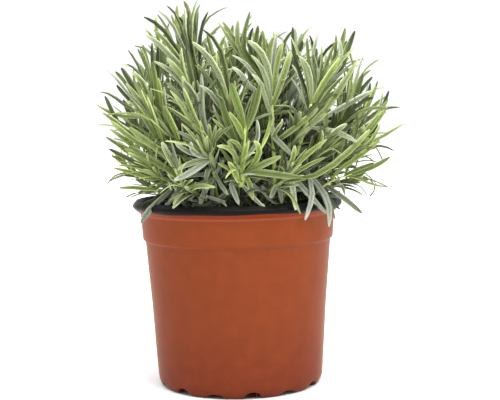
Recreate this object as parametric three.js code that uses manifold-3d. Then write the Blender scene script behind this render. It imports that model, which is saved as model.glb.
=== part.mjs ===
// Potted lavender: a young lavender bush, not yet in flower, in a thermoformed nursery pot.
// The pot, the potting soil and every leafy shoot are separate solids. Each shoot stands in its own
// plain hole in the soil, and its leaves are fused to its square stem.
// Units are millimetres and +Z is up. The origin is the centre of the pot's underside.
import * as THREE from "three";
import { mergeVertices } from "three/addons/utils/BufferGeometryUtils.js";
import Module from "manifold-3d";

const wasm = await Module();
wasm.setup();

// ---- Driving dimensions ---------------------------------------------------------------------

const POT_HEIGHT = 115;
const LIP_RADIUS = 65;
const FOOT_RADIUS = 47;
const WALL = 1;
const POT_SIDES = 42; // three to each notch

const NOTCHES = 14; // feet notches round the base: every second one is a drain
const NOTCH_TURN = 0.14; // radians from -Y towards +X, to the first drain
const ARCH = { width: 12, height: 2.8 };
const DRAIN = { width: 11, height: 4.2, slot: [6, 5, 4] };
const NOTCH_INNER_RADIUS = 43.5;
const BASE_CLEARANCE = 6.3; // soil stays above this where the notches push the shell in

const GAP = 0.3; // between any two solids that rest on each other
const SOIL_GAP = 0.6; // a little more than GAP, since both walls have flat sides
const SOIL_RIM_HEIGHT = 103;
const SOIL_MOUND = 3;
const SOIL_LUMPS = 0.9;
const SOIL_SIDES = 24;
const HOLE_DEPTH = 6;

const SEED = 4;
const STEM = { foot: 1.1, tip: 0.7 }; // half widths of the square stem
const FOOT_SHARE = 0.36; // how far out a stem is rooted, against how far out its tip is
const FOOT_SPACING = 7;
const CLEAR_OF_SOIL = 0.17; // how far up a stem its straight first stretch goes
const STEM_BALLS = 60;
const LOW_BEND = { out: 0.2, rise: 0.42, least: 26 }; // where a stem's curve is pulled to, as
const HIGH_BEND = { out: 0.74, rise: 0.66 }; // shares of its reach and rise, and in millimetres
const BOW = 3; // how far a stem bows sideways, and how much further on each try

const PAIRS = { fewest: 5, most: 8, spacing: 15 }; // leaf pairs on a shoot, by its length
const FIRST_PAIR_AT = 0.36; // how far up its stem the lowest pair sits
const NODE_LENGTH = 1.4; // the height of the stem patch that a leaf grows out of
const LEAF_WIDTH = 4.1;
const WIDTH_SHARES = { root: 0.3, tip: 0.55 }; // of a blade's full width
const WIDEST_AT = 0.4; // how far along the blade it is at its full width
const BLADE_RIDGE = 0.42; // the blade's ridge above its centreline
const BLADE_UNDER = 0.3; // its edges below the centreline
const BLADE_SECTIONS = [WIDEST_AT, 0.8];
const LEAF_STEPS = 20; // steps along a leaf's centreline
const CLEARANCE = 0.6; // between shoots, and to the soil and the lip
const LIP_BAND = { radius: 62, half: 4 }; // the ring, seen from above, over which leaves stay up
const BEAD_SPACING = 1.4; // between the centrelines and edges of two leaves of one shoot
const ROOT = { stem: 0.4, mate: 0.15, other: 0.05 }; // the share of a leaf that may lie nearer
const TRIES = 9; // times that a stem or a leaf is bent aside; a leaf is then left out

// ---- Small helpers --------------------------------------------------------------------------

const UP = new THREE.Vector3(0, 0, 1);
const vec = (x, y, z) => new THREE.Vector3(x, y, z);
const mix = (a, b, t) => a + (b - a) * t;
const { clamp } = THREE.MathUtils;
const radians = (degrees) => (degrees * Math.PI) / 180;

/** A repeatable random number from low to high for a list of whole-number keys. */
function draw(low, high, ...keys) {
  let h = SEED;
  for (const key of keys) {
    h = Math.imul(h ^ key, 0x85ebca6b);
    h ^= h >>> 13;
    h = Math.imul(h, 0xc2b2ae35);
    h ^= h >>> 16;
  }
  return mix(low, high, (h >>> 0) / 2 ** 32);
}

/** A closed solid from a three.js geometry, with its shared vertices merged. */
function solid(geometry) {
  const bare = geometry.index ? geometry.toNonIndexed() : geometry.clone();
  bare.deleteAttribute("normal");
  bare.deleteAttribute("uv");
  const merged = mergeVertices(bare, 1e-4);
  return new wasm.Manifold(
    new wasm.Mesh({
      numProp: 3,
      vertProperties: merged.attributes.position.array,
      triVerts: new Uint32Array(merged.index.array),
    }),
  );
}

/** A named mesh from a closed solid. */
function part(name, made, material) {
  const { vertProperties, triVerts } = made.getMesh();
  const geometry = new THREE.BufferGeometry();
  geometry.setAttribute("position", new THREE.BufferAttribute(vertProperties, 3));
  geometry.setIndex(new THREE.BufferAttribute(triVerts, 1));
  geometry.computeVertexNormals();
  const mesh = new THREE.Mesh(geometry, material);
  mesh.name = name;
  return mesh;
}

/** A solid turned round Z from a profile of [radius, height] that starts and ends on the axis. */
function turned(profile, sides, reshape = (point) => point) {
  const points = profile.map(([radius, height]) => new THREE.Vector2(radius, height));
  const geometry = new THREE.LatheGeometry(points, sides).rotateX(Math.PI / 2);
  const position = geometry.attributes.position;
  for (let i = 0; i < position.count; i++) {
    const point = reshape(new THREE.Vector3().fromBufferAttribute(position, i));
    position.setXYZ(i, point.x, point.y, point.z);
  }
  return solid(geometry);
}

/** A surface under construction: a list of points and a list of triangles over them. */
class Skin {
  points = [];
  faces = [];

  /** Adds points, and gives their numbers. */
  add(...points) {
    return points.map((point) => this.points.push(point) - 1);
  }

  /** Adds a four-sided face, split along the diagonal that makes a twisted one bulge outwards. */
  quad(...corners) {
    const [a, b, c, d] = corners;
    const [p, q, r, s] = corners.map((corner) => this.points[corner]);
    const across = r.clone().sub(p).cross(s.clone().sub(q));
    const bulge = p.clone().add(r).sub(q).sub(s).dot(across);
    this.faces.push(...(bulge < 0 ? [a, b, d, b, c, d] : [a, b, c, a, c, d]));
  }

  /** Joins two rings of the same length, corner to corner. */
  band(ring, next) {
    ring.forEach((a, i) => {
      const j = (i + 1) % ring.length;
      this.quad(a, ring[j], next[j], next[i]);
    });
  }

  geometry() {
    return new THREE.BufferGeometry().setFromPoints(this.points).setIndex(this.faces);
  }
}

// ---- Pot ------------------------------------------------------------------------------------

// The outside of the wall, from the foot to the neck under the lip: [radius, height].
const WALL_OUTLINE = [
  [FOOT_RADIUS, 0],
  [49.4, 1.2],
  [50.5, 4],
  [57.6, 89.5], // body
  [59.1, 91], // step at the foot of the collar
  [60.2, 105.6], // neck
];

// The rolled lip, from its flared underside over its two beads.
const LIP_OUTLINE = [
  [63.9, 109.4],
  [LIP_RADIUS, 111.6],
  [LIP_RADIUS - 0.8, 113.7],
  [62.6, POT_HEIGHT],
];

/** The radius of the pot's inner face at a height. */
function innerRadius(height) {
  const above = WALL_OUTLINE.findIndex(([, z]) => z >= height);
  const [[r0, z0], [r1, z1]] = WALL_OUTLINE.slice(above - 1, above + 1);
  return mix(r0, r1, (height - z0) / (z1 - z0)) - WALL;
}

/** A half-round cutter lying along the radius at one notch, grown all round by a margin. */
function notchCutter(index, { width, height }, margin) {
  const outline = new THREE.Shape();
  outline.absellipse(0, 0, width / 2 + margin, height + margin, 0, Math.PI);
  outline.lineTo(-width / 2 - margin, -1);
  outline.lineTo(width / 2 + margin, -1);
  const start = NOTCH_INNER_RADIUS - margin;
  const geometry = new THREE.ExtrudeGeometry(outline, {
    depth: LIP_RADIUS - start,
    bevelEnabled: false,
    curveSegments: 3,
  });
  geometry.rotateX(Math.PI / 2).translate(0, -start, 0);
  return solid(geometry.rotateZ(notchAngle(index)));
}

const notchAngle = (index) => NOTCH_TURN + (index * 2 * Math.PI) / NOTCHES;

/** The pot: a thin shell whose foot is pushed in by the notches, with slots through the drains. */
function makePot() {
  const inside = WALL_OUTLINE.slice(2).map(([radius, height]) => [radius - WALL, height]);
  const floor = [[0, WALL], [FOOT_RADIUS, WALL]];
  const mouth = [[60.6, 113.4], [61.8, POT_HEIGHT + 1], [0, POT_HEIGHT + 1]];
  let shell = turned([[0, 0], ...WALL_OUTLINE, ...LIP_OUTLINE, [0, POT_HEIGHT]], POT_SIDES);
  let cavity = turned([...floor, ...inside, ...mouth], POT_SIDES);
  const slots = [];
  for (let i = 0; i < NOTCHES; i++) {
    const isDrain = i % 2 === 0;
    const kind = isDrain ? DRAIN : ARCH;
    shell = shell.subtract(notchCutter(i, kind, 0));
    cavity = cavity.subtract(notchCutter(i, kind, WALL));
    if (isDrain) slots.push(drainSlot(i));
  }
  return shell.subtract(cavity).subtract(wasm.Manifold.union(slots));
}

/** The opening through the shell at the inner end of a drain notch. */
function drainSlot(index) {
  const slot = new THREE.BoxGeometry(...DRAIN.slot);
  slot.translate(0, -NOTCH_INNER_RADIUS, DRAIN.slot[2] / 2 - 1);
  return solid(slot.rotateZ(notchAngle(index)));
}

// ---- Shoots: where each stem runs -----------------------------------------------------------

// Stem tips of the shoots that make the bush's skyline, from the left round to the right.
const SKYLINE_TIPS = [
  [-53, -12, 124],
  [-59, -12, 143],
  [-62, -4, 160],
  [-61, 2, 177],
  [-52, 6, 190],
  [-45, -4, 203],
  [-35, 4, 212],
  [-25, 10, 214],
  [-12, 12, 193],
  [2, 12, 206],
  [13, 2, 194],
  [25, -6, 194],
  [37, 4, 199],
  [49, 8, 191],
  [63, 4, 197],
  [72, 4, 180],
  [78, -2, 163],
  [77, -10, 146],
  [70, -14, 127],
];

// Stem tips of the shoots in front of them, from the top down.
const FRONT_TIPS = [
  [18, -34, 189],
  [50, -30, 182],
  [-21, -18, 184],
  [-8, -30, 178],
  [65, -30, 166],
  [-2, -54, 167],
  [-25, -45, 168],
  [-48, -36, 166],
  [-37, -52, 158],
  [35, -54, 158],
  [-16, -62, 146],
  [49, -50, 147],
  [68, -38, 146],
  [1, -66, 138],
  [-48, -50, 136],
  [28, -66, 132],
  [-31, -64, 130],
];

const REAR_SHOOTS = 16;
const REAR_DOME = { radius: 78, height: 92, centre: 114 };
const REAR_ARC = [radians(8), radians(172)];
const REAR_TILT = [radians(16), radians(84)];
const GOLDEN = 0.618034;

/** Stem tips over the back of the bush, in a golden-ratio spread on a flattened dome. */
function rearTips() {
  return Array.from({ length: REAR_SHOOTS }, (_, i) => {
    const around = mix(...REAR_ARC, (i * GOLDEN + 0.3) % 1);
    const tilt = mix(...REAR_TILT, (i + 0.5) / REAR_SHOOTS);
    const reach = REAR_DOME.radius * Math.sin(tilt) * draw(0.9, 1.04, 1, i);
    const rise = REAR_DOME.height * Math.cos(tilt);
    return [reach * Math.cos(around), reach * Math.sin(around), REAR_DOME.centre + rise];
  });
}

/** Feet under the tips, nearer the middle, pushed apart until each has room in the soil. */
function stemFeet(tips) {
  const feet = tips.map((tip) => vec(tip.x * FOOT_SHARE, tip.y * FOOT_SHARE, 0));
  for (let round = 0; round < 60; round++) {
    feet.forEach((a, i) =>
      feet.slice(i + 1).forEach((b) => {
        const apart = b.clone().sub(a);
        const push = Math.max(0, FOOT_SPACING - apart.length()) / 2;
        apart.setLength(push);
        a.sub(apart);
        b.add(apart);
      }),
    );
  }
  return feet;
}

/** The soil's surface: a low mound with soft lumps that die out towards the pot. */
function soilHeight(x, y) {
  const out = Math.min(1, Math.hypot(x, y) / 58);
  const lumps =
    Math.sin(x * 0.31 + 1.3) * Math.cos(y * 0.27) +
    0.6 * Math.sin(x * 0.13 - y * 0.41) +
    0.5 * Math.cos(x * 0.47 + y * 0.19 + 0.7);
  return SOIL_RIM_HEIGHT + SOIL_MOUND * (1 - out * out) + SOIL_LUMPS * lumps * (1 - out ** 6);
}

/** A stem as a cubic curve that leaves the soil upright, swings outwards and rises to its tip. */
function bendStem(tip, foot, index, attempt) {
  const base = vec(foot.x, foot.y, soilHeight(foot.x, foot.y) - HOLE_DEPTH + GAP);
  const out = vec(tip.x - foot.x, tip.y - foot.y, 0);
  const side = UP.clone().cross(out).normalize();
  const rise = tip.z - base.z;
  const bow = draw(-BOW, BOW, 2, index) + attempt * (attempt % 2 ? BOW : -BOW);
  const low = base.clone().addScaledVector(out, LOW_BEND.out);
  low.addScaledVector(UP, Math.max(LOW_BEND.rise * rise, LOW_BEND.least));
  const high = base.clone().addScaledVector(out, HIGH_BEND.out);
  high.addScaledVector(UP, HIGH_BEND.rise * rise);
  low.addScaledVector(side, bow / 2);
  high.addScaledVector(side, bow);
  const curve = new THREE.CubicBezierCurve3(base, low, high, tip);
  const length = curve.getLength();
  const pairs = clamp(Math.round(length / PAIRS.spacing), PAIRS.fewest, PAIRS.most);
  return { index, curve, side, length, pairs, twist: draw(0, Math.PI / 2, 4, index) };
}

/** The room that a stem takes: balls that cover it. */
function stemRoom({ index, curve }) {
  const balls = Array.from({ length: STEM_BALLS }, (_, i) => {
    const t = i / (STEM_BALLS - 1);
    const at = curve.getPoint(t);
    return { at, t: 1, radius: stemHalfWidth(t) * Math.SQRT2, beads: [at] };
  });
  return room(index, "stem", balls);
}

/** Bends every stem clear of those before it. */
function bendStems() {
  const tips = [...SKYLINE_TIPS, ...FRONT_TIPS, ...rearTips()].map((tip) => vec(...tip));
  const feet = stemFeet(tips);
  const taken = [];
  return tips.map((tip, index) => {
    for (let attempt = 0; ; attempt++) {
      const stem = bendStem(tip, feet[index], index, attempt);
      const own = stemRoom(stem);
      if (attempt < TRIES && !taken.every((other) => roomsClear(own, other))) continue;
      taken.push(own);
      return stem;
    }
  });
}

/** The point of a stem at t, its direction there, and the normals of two faces of its square. */
function stemFrame({ curve, side, twist }, t) {
  const along = curve.getTangent(t);
  const width = side.clone().addScaledVector(along, -side.dot(along)).normalize();
  width.applyAxisAngle(along, twist);
  return { at: curve.getPoint(t), along, width, across: along.clone().cross(width) };
}

const stemHalfWidth = (t) => mix(STEM.foot, STEM.tip, t);

/** The four corners of a stem's square section at t, grown by a margin. */
function stemCorners(stem, t, margin = 0) {
  const { at, width, across } = stemFrame(stem, t);
  const half = stemHalfWidth(t) + margin;
  const signs = [[1, 1], [-1, 1], [-1, -1], [1, -1]];
  return signs.map(([i, j]) =>
    at.clone().addScaledVector(width, i * half).addScaledVector(across, j * half),
  );
}

// ---- Leaves: each is bent clear of the other shoots, of the soil and of the pot's lip --------

// Along the shoot, from its lowest leaves to its tip: length, opening angle, bend and droop.
const LEAF_STAGES = [
  { length: 25, open: 66, bend: 8, droop: 1.3 },
  { length: 33, open: 50, bend: 16, droop: 0.5 },
  { length: 37, open: 35, bend: 28, droop: 0.1 },
  { length: 25, open: 17, bend: 20, droop: 0 },
];

/** A value of the leaf stages at u, from 0 at the lowest pair to 1 at the tip. */
function staged(key, u) {
  const place = u * (LEAF_STAGES.length - 1);
  const below = Math.min(Math.floor(place), LEAF_STAGES.length - 2);
  return mix(LEAF_STAGES[below][key], LEAF_STAGES[below + 1][key], place - below);
}

/** Where a pair sits on its stem: the pairs crowd towards the tip. */
const pairAt = (u) => 1 - (1 - FIRST_PAIR_AT) * (1 - u) ** 1.35;

/** How wide a blade is at t, against its full width: narrow root, broad middle, blunt tip. */
function bladeWidth(t) {
  if (t < WIDEST_AT) return mix(WIDTH_SHARES.root, 1, Math.sqrt(t / WIDEST_AT));
  return mix(1, WIDTH_SHARES.tip, ((t - WIDEST_AT) / (1 - WIDEST_AT)) ** 2.2);
}

/** The centreline of one leaf of a pair, on its numbered try at growing clear of its neighbours. */
function leafPath(stem, pair, hand, attempt) {
  const u = pair / (stem.pairs - 1);
  const keys = [stem.index, pair, hand];
  const face = (pair % 2) + 2 * hand;
  const swing = attempt * (attempt % 2 ? 6 : -6);
  const turn = radians(90 * face + draw(-12, 12, 3, ...keys) + swing);
  const open = radians(staged("open", u) + draw(-8, 8, 5, ...keys) + 2.5 * attempt);
  const bend = radians(staged("bend", u) * draw(0, 2.2, 6, ...keys));
  const droop = staged("droop", u) * draw(0.5, 1.5, 7, ...keys);
  const length = staged("length", u) * draw(0.8, 1.15, 8, ...keys) * (1 - 0.05 * attempt);
  const frame = stemFrame(stem, pairAt(u));
  const outward = frame.across.clone().multiplyScalar(Math.cos(turn));
  outward.addScaledVector(frame.width, -Math.sin(turn));
  const points = [frame.at];
  const ways = [];
  for (let i = 0; i < LEAF_STEPS; i++) {
    const t = (i + 0.5) / LEAF_STEPS;
    const angle = open + bend * t * t;
    const way = frame.along.clone().multiplyScalar(Math.cos(angle));
    way.addScaledVector(outward, Math.sin(angle)).addScaledVector(UP, -droop * t * t).normalize();
    ways.push(way);
    points.push(points[i].clone().addScaledVector(way, length / LEAF_STEPS));
  }
  const width = LEAF_WIDTH * draw(0.8, 1.15, 9, ...keys) * Math.min(1, length / 26);
  return { shoot: stem.index, pair, face, points, ways, side: frame.along.cross(outward), width };
}

/** The directions across a blade and off its upper face at a step. */
function bladeAxes({ ways, side }, step) {
  const way = ways[Math.min(step, LEAF_STEPS - 1)];
  const across = side.clone().addScaledVector(way, -side.dot(way)).normalize();
  return { across, above: way.clone().cross(across) };
}

/** The room that a leaf takes: balls over its width, with a row of three beads across each. */
function leafRoom(leaf) {
  const balls = leaf.points.slice(1).map((at, i) => {
    const t = (i + 1) / LEAF_STEPS;
    const radius = (bladeWidth(t) * leaf.width) / 2;
    const { across } = bladeAxes(leaf, i + 1);
    const beads = [-0.75, 0, 0.75].map((share) => at.clone().addScaledVector(across, share * radius));
    return { at, t, radius, beads };
  });
  return room(leaf.shoot, leaf.pair, balls);
}

/** A run of balls, with one sphere round them all. */
function room(shoot, pair, balls) {
  const sphere = new THREE.Sphere().setFromPoints(balls.map(({ at }) => at));
  sphere.radius += LEAF_WIDTH;
  return { shoot, pair, balls, sphere };
}

/** Whether a ball touches the soil or the pot's lip. */
function meetsPot({ at, radius }) {
  const out = Math.hypot(at.x, at.y);
  const reach = radius + CLEARANCE;
  const inSoil = out < LIP_BAND.radius && at.z < soilHeight(at.x, at.y) + reach;
  const inLip = Math.abs(out - LIP_BAND.radius) < LIP_BAND.half + reach && at.z < POT_HEIGHT + reach;
  return inSoil || inLip;
}

const apart = (a, b, distance) => a.distanceToSquared(b) > distance * distance;

/** Whether two rooms stand clear: by their balls, or in one shoot by the beads past the roots. */
function roomsClear(a, b) {
  if (!a.sphere.intersectsSphere(b.sphere)) return true;
  if (a.shoot !== b.shoot) {
    return a.balls.every((i) =>
      b.balls.every((j) => apart(i.at, j.at, i.radius + j.radius + CLEARANCE)),
    );
  }
  const root = ROOT[b.pair] ?? (a.pair === b.pair ? ROOT.mate : ROOT.other);
  return a.balls.every((i) =>
    b.balls.every(
      (j) =>
        Math.min(i.t, j.t) < root ||
        i.beads.every((p) => j.beads.every((q) => apart(p, q, BEAD_SPACING))),
    ),
  );
}

/** Grows every leaf, the tips of all shoots first, and keeps those that find room. */
function growLeaves(stems) {
  const taken = stems.map(stemRoom);
  const leaves = [];
  for (let below = 0; below < PAIRS.most; below++) {
    for (const stem of stems.filter(({ pairs }) => pairs > below)) {
      for (const hand of [0, 1]) {
        for (let attempt = 0; attempt < TRIES; attempt++) {
          const leaf = leafPath(stem, stem.pairs - 1 - below, hand, attempt);
          const own = leafRoom(leaf);
          if (own.balls.some(meetsPot)) continue;
          if (!taken.every((other) => roomsClear(own, other))) continue;
          taken.push(own);
          leaves.push(leaf);
          break;
        }
      }
    }
  }
  return leaves;
}

/** The three corners of a blade's section at t: its two edges and its ridge. */
function bladeCorners(leaf, t) {
  const step = Math.round(t * LEAF_STEPS);
  const { across, above } = bladeAxes(leaf, step);
  const half = (bladeWidth(t) * leaf.width) / 2;
  return [[-half, -BLADE_UNDER], [half, -BLADE_UNDER], [0, BLADE_RIDGE]].map(([x, z]) =>
    leaf.points[step].clone().addScaledVector(across, x).addScaledVector(above, z),
  );
}

/** Grows a blade out of a patch of four corners, [low left, low right, high right, high left]. */
function addBlade(skin, patch, leaf) {
  let [a, b, c, d] = patch;
  for (const t of BLADE_SECTIONS) {
    const [left, right, ridge] = skin.add(...bladeCorners(leaf, t));
    skin.quad(a, b, right, left);
    skin.quad(b, c, ridge, right);
    skin.quad(d, a, left, ridge);
    if (c !== d) skin.faces.push(c, d, ridge);
    [a, b, c, d] = [left, right, ridge, ridge];
  }
  const [tip] = skin.add(leaf.points[LEAF_STEPS]);
  skin.faces.push(a, b, tip, b, c, tip, c, a, tip);
}

/** The sections of a stem: its foot, clear of the soil, and below and above each leaf pair. */
function stemStops(stem) {
  const stops = [0, CLEAR_OF_SOIL, (CLEAR_OF_SOIL + FIRST_PAIR_AT) / 2];
  for (let pair = 0; pair < stem.pairs; pair++) {
    const t = pairAt(pair / (stem.pairs - 1));
    stops.push(t - NODE_LENGTH / stem.length, t);
  }
  return stops;
}

/** One leafy shoot as a single skin, in which each leaf grows out of a patch of the square stem. */
function shootGeometry(stem, leaves) {
  const skin = new Skin();
  const rings = stemStops(stem).map((t) => skin.add(...stemCorners(stem, t)));
  skin.quad(...rings[0].toReversed());
  skin.quad(...rings.at(-1));
  rings.slice(1).forEach((ring, i) => {
    const pair = (i - 3) / 2;
    for (let face = 0; face < 4; face++) {
      const next = (face + 1) % 4;
      const patch = [rings[i][face], rings[i][next], ring[next], ring[face]];
      const leaf = leaves.find((each) => each.pair === pair && each.face === face);
      if (leaf) addBlade(skin, patch, leaf);
      else skin.quad(...patch);
    }
  });
  return skin.geometry();
}

// ---- Soil -----------------------------------------------------------------------------------

/** The soil: it fills the pot to just inside the wall, with a plain square hole for each stem. */
function makeSoil(stems) {
  const bottom = [
    [0, WALL + GAP],
    [41, WALL + GAP],
    [42, BASE_CLEARANCE],
  ];
  const side = [BASE_CLEARANCE, 89.5, SOIL_RIM_HEIGHT].map((z) => [innerRadius(z) - SOIL_GAP, z]);
  const top = [44, 30, 16, 0].map((radius) => [radius, SOIL_RIM_HEIGHT]);
  const relief = (point) => {
    if (point.z >= SOIL_RIM_HEIGHT - 0.01) point.z = soilHeight(point.x, point.y);
    return point;
  };
  const ground = turned([...bottom, ...side, ...top], SOIL_SIDES, relief);
  return ground.subtract(wasm.Manifold.union(stems.map(stemHole)));
}

/** The hole round a stem's foot: the stem's own first stretch, grown by the gap. */
function stemHole(stem) {
  const foot = stemCorners(stem, 0, GAP);
  const head = stemCorners(stem, CLEAR_OF_SOIL, GAP);
  foot.forEach((corner, i) => corner.addScaledVector(head[i].clone().sub(corner).normalize(), -GAP));
  const skin = new Skin();
  const [low, high] = [skin.add(...foot), skin.add(...head)];
  skin.quad(...low.toReversed());
  skin.quad(...high);
  skin.band(low, high);
  return solid(skin.geometry());
}

// ---- Assembly -------------------------------------------------------------------------------

const terracottaPlastic = new THREE.MeshStandardMaterial({
  color: 0xa8502d,
  roughness: 0.45,
  metalness: 0,
});
const pottingSoil = new THREE.MeshStandardMaterial({ color: 0x1f1a16, roughness: 1, metalness: 0 });
const lavenderLeaf = new THREE.MeshStandardMaterial({ color: 0x8c9f78, roughness: 0.8, metalness: 0 });

const pottedLavender = new THREE.Group();
const stems = bendStems();
const leaves = growLeaves(stems);
pottedLavender.add(part("pot", makePot(), terracottaPlastic));
pottedLavender.add(part("soil", makeSoil(stems), pottingSoil));
for (const stem of stems) {
  const own = leaves.filter((leaf) => leaf.shoot === stem.index);
  const name = `leafy_shoot_${String(stem.index + 1).padStart(2, "0")}`;
  pottedLavender.add(part(name, solid(shootGeometry(stem, own)), lavenderLeaf));
}

export default pottedLavender;
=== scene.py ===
# %% [markdown]
# # A young lavender in its nursery pot
#
# The object is a lavender bush that hasn't flowered yet, in the round plastic pot that growers
# sell it in. The pot, the soil and every leafy shoot are packed as plain solids with real sizes,
# and this script dresses them. It keeps each solid's place and gives it the finer shape and the
# finish that a camera sees.
#
# A leafy shoot could be rebuilt by eye, but then it would drift from its solid. So the script
# reads each solid's net of points, finds the stem and the leaves in it, and grows the fine ones
# along the same lines.

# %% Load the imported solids
import bpy
import numpy as np
from mathutils import Matrix, Vector


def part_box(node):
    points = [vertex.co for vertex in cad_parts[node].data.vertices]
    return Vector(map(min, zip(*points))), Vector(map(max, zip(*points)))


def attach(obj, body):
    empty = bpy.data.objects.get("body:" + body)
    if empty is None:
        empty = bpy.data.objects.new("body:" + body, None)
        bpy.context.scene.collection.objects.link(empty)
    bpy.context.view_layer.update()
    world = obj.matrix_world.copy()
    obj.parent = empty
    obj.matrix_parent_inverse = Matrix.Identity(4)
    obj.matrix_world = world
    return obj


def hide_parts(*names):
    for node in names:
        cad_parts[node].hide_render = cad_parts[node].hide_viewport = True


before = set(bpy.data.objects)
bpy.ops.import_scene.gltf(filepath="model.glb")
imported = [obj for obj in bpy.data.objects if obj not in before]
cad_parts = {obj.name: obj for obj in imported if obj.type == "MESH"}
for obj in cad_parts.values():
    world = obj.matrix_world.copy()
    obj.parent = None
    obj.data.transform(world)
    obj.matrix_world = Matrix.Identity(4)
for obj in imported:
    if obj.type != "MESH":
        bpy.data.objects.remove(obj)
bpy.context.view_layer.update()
shoot_names = sorted(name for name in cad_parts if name.startswith("leafy_shoot"))
MM = 0.001

# %% [markdown]
# ## The camera
#
# The photograph was taken with a longish lens from about 0.7 m away and a little above the rim, so
# that the lip shows as a thin ellipse. The camera is turned down to the pot instead of using lens
# shift, because a shift would push the object off centre in every other view. It also leans by
# less than a degree, since the pot leans by that much in the photograph.

# %% Camera
CAMERA_PLACE = Vector((0.0009, -0.6698, 0.1675))
CAMERA_AIM = Vector((0.0079, 0.0, 0.1134))  # what lies at the middle of the picture
CAMERA_ROLL = np.radians(-1.06)
LENS_MM = 77.5
SENSOR_MM = 36.0

camera = bpy.data.objects.new("camera", bpy.data.cameras.new("camera"))
camera.data.sensor_width = SENSOR_MM
camera.data.lens = LENS_MM
look = (CAMERA_AIM - CAMERA_PLACE).to_track_quat("-Z", "Y").to_matrix().to_4x4()
camera.matrix_world = Matrix.Translation(CAMERA_PLACE) @ look @ Matrix.Rotation(CAMERA_ROLL, 4, "Z")
bpy.context.scene.collection.objects.link(camera)
bpy.context.scene.camera = camera
print("the camera stands", round((CAMERA_AIM - CAMERA_PLACE).length, 3), "m from what it looks at")

# %% [markdown]
# ## A few helpers
#
# Colours are written as the hex values that a paint program shows, which are sRGB. Blender's
# shaders add light, so they need linear values, and one function makes the change. The others add
# a shader node with its settings and links, start a material, turn arrays of points and faces into
# a mesh piece, and number the faces of a tube. Points are in millimetres, because that is how the
# sizes are known.

# %% Colours from hex
def linear(hex_colour):
    """sRGB to linear light: c / 12.92 near black, else ((c + 0.055) / 1.055) to the power 2.4."""
    srgb = np.array([int(hex_colour[i : i + 2], 16) / 255 for i in (1, 3, 5)])
    light = np.where(srgb <= 0.04045, srgb / 12.92, ((srgb + 0.055) / 1.055) ** 2.4)
    return (*light.tolist(), 1.0)


print("middle grey in linear light:", [round(c, 3) for c in linear("#808080")])


# %% One helper for shader nodes
def add_node(tree, kind, links=None, gives=0, stops=None, **settings):
    """Adds a node with its settings and links, and gives one of its outputs.

    links maps an input's name or number to a number, a hex colour or another node's output, and
    stops maps places on a colour ramp to hex colours. A Map Range node's inputs are 0 for the
    value, 1 and 2 for the range that it comes from, and 3 and 4 for the one that it goes to."""
    node = tree.nodes.new("ShaderNode" + kind)
    for key, value in settings.items():
        setattr(node, key, value)
    for key, value in (links or {}).items():
        if isinstance(value, bpy.types.NodeSocket):
            tree.links.new(value, node.inputs[key])
        else:
            node.inputs[key].default_value = linear(value) if isinstance(value, str) else value
    for number, (place, colour) in enumerate(sorted((stops or {}).items())):
        elements = node.color_ramp.elements
        element = elements[number] if number < 2 else elements.new(1.0)
        element.position, element.color = place, linear(colour)
    return node.outputs[gives]


MIXED = 2  # the Mix node's colour output; its share is input 0, and its colours are 6 and 7
print("one function adds every node, from", bpy.app.version_string)


# %% A material with the values that are the same all over
def new_material(name, **constants):
    """A named material: gives it, its node tree, its shader and its Object coordinates."""
    material = bpy.data.materials.new(name)
    material.use_nodes = True
    tree = material.node_tree
    shader = tree.nodes["Principled BSDF"]
    for key, value in constants.items():
        shader.inputs[key.replace("_", " ")].default_value = value
    return material, tree, shader, add_node(tree, "TexCoord", gives="Object")


print("materials are named for what the real thing is made of")


# %% From arrays to a piece
def new_piece(name, points, faces, materials, replaced=(), paint=None, values=None):
    """Makes one mesh piece. points are in mm, and faces is a list of arrays, one for each number
    of corners. paint is the material number of each face, and values are named numbers per point."""
    mesh = bpy.data.meshes.new(name)
    corners = np.concatenate([rows.ravel() for rows in faces])
    sizes = np.concatenate([np.full(len(rows), rows.shape[1]) for rows in faces])
    mesh.vertices.add(len(points))
    mesh.vertices.foreach_set("co", (np.asarray(points) * MM).astype(np.float32).ravel())
    mesh.loops.add(len(corners))
    mesh.loops.foreach_set("vertex_index", corners.astype(np.int32))
    mesh.polygons.add(len(sizes))
    mesh.polygons.foreach_set("loop_start", (np.cumsum(sizes) - sizes).astype(np.int32))
    for material in materials:
        mesh.materials.append(material)
    if paint is not None:
        mesh.polygons.foreach_set("material_index", np.asarray(paint, np.int32))
    for key, numbers in (values or {}).items():
        layer = mesh.attributes.new(key, "FLOAT", "POINT")
        layer.data.foreach_set("value", np.asarray(numbers, np.float32).ravel())
    mesh.update(calc_edges=True)
    mesh.shade_smooth()
    piece = bpy.data.objects.new(name, mesh)
    bpy.context.scene.collection.objects.link(piece)
    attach(piece, "root")
    if replaced:
        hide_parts(*replaced)
    return piece


print("sizes go in as mm and come out times", MM)


# %% Faces of a tube
def grid_faces(rings, sides):
    """Faces between neighbouring rings of a tube: corner s of ring r is point r * sides + s."""
    r, s = np.meshgrid(np.arange(rings - 1), np.arange(sides), indexing="ij")
    here, beside = r * sides + s, r * sides + (s + 1) % sides
    return np.stack([here, beside, beside + sides, here + sides], -1).reshape(-1, 4)


def end_fans(rings, sides):
    """Triangles that close a tube at both ends, round the two points that follow its rings."""
    here = np.arange(sides)
    beside, top = (here + 1) % sides, (rings - 1) * sides
    first, last = np.full(sides, rings * sides), np.full(sides, rings * sides + 1)
    low, high = np.stack([first, beside, here], -1), np.stack([last, top + here, top + beside], -1)
    return np.concatenate([low, high])


print("a tube of 3 rings of 4 has", len(grid_faces(3, 4)), "sides and", len(end_fans(3, 4)), "end faces")

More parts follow.
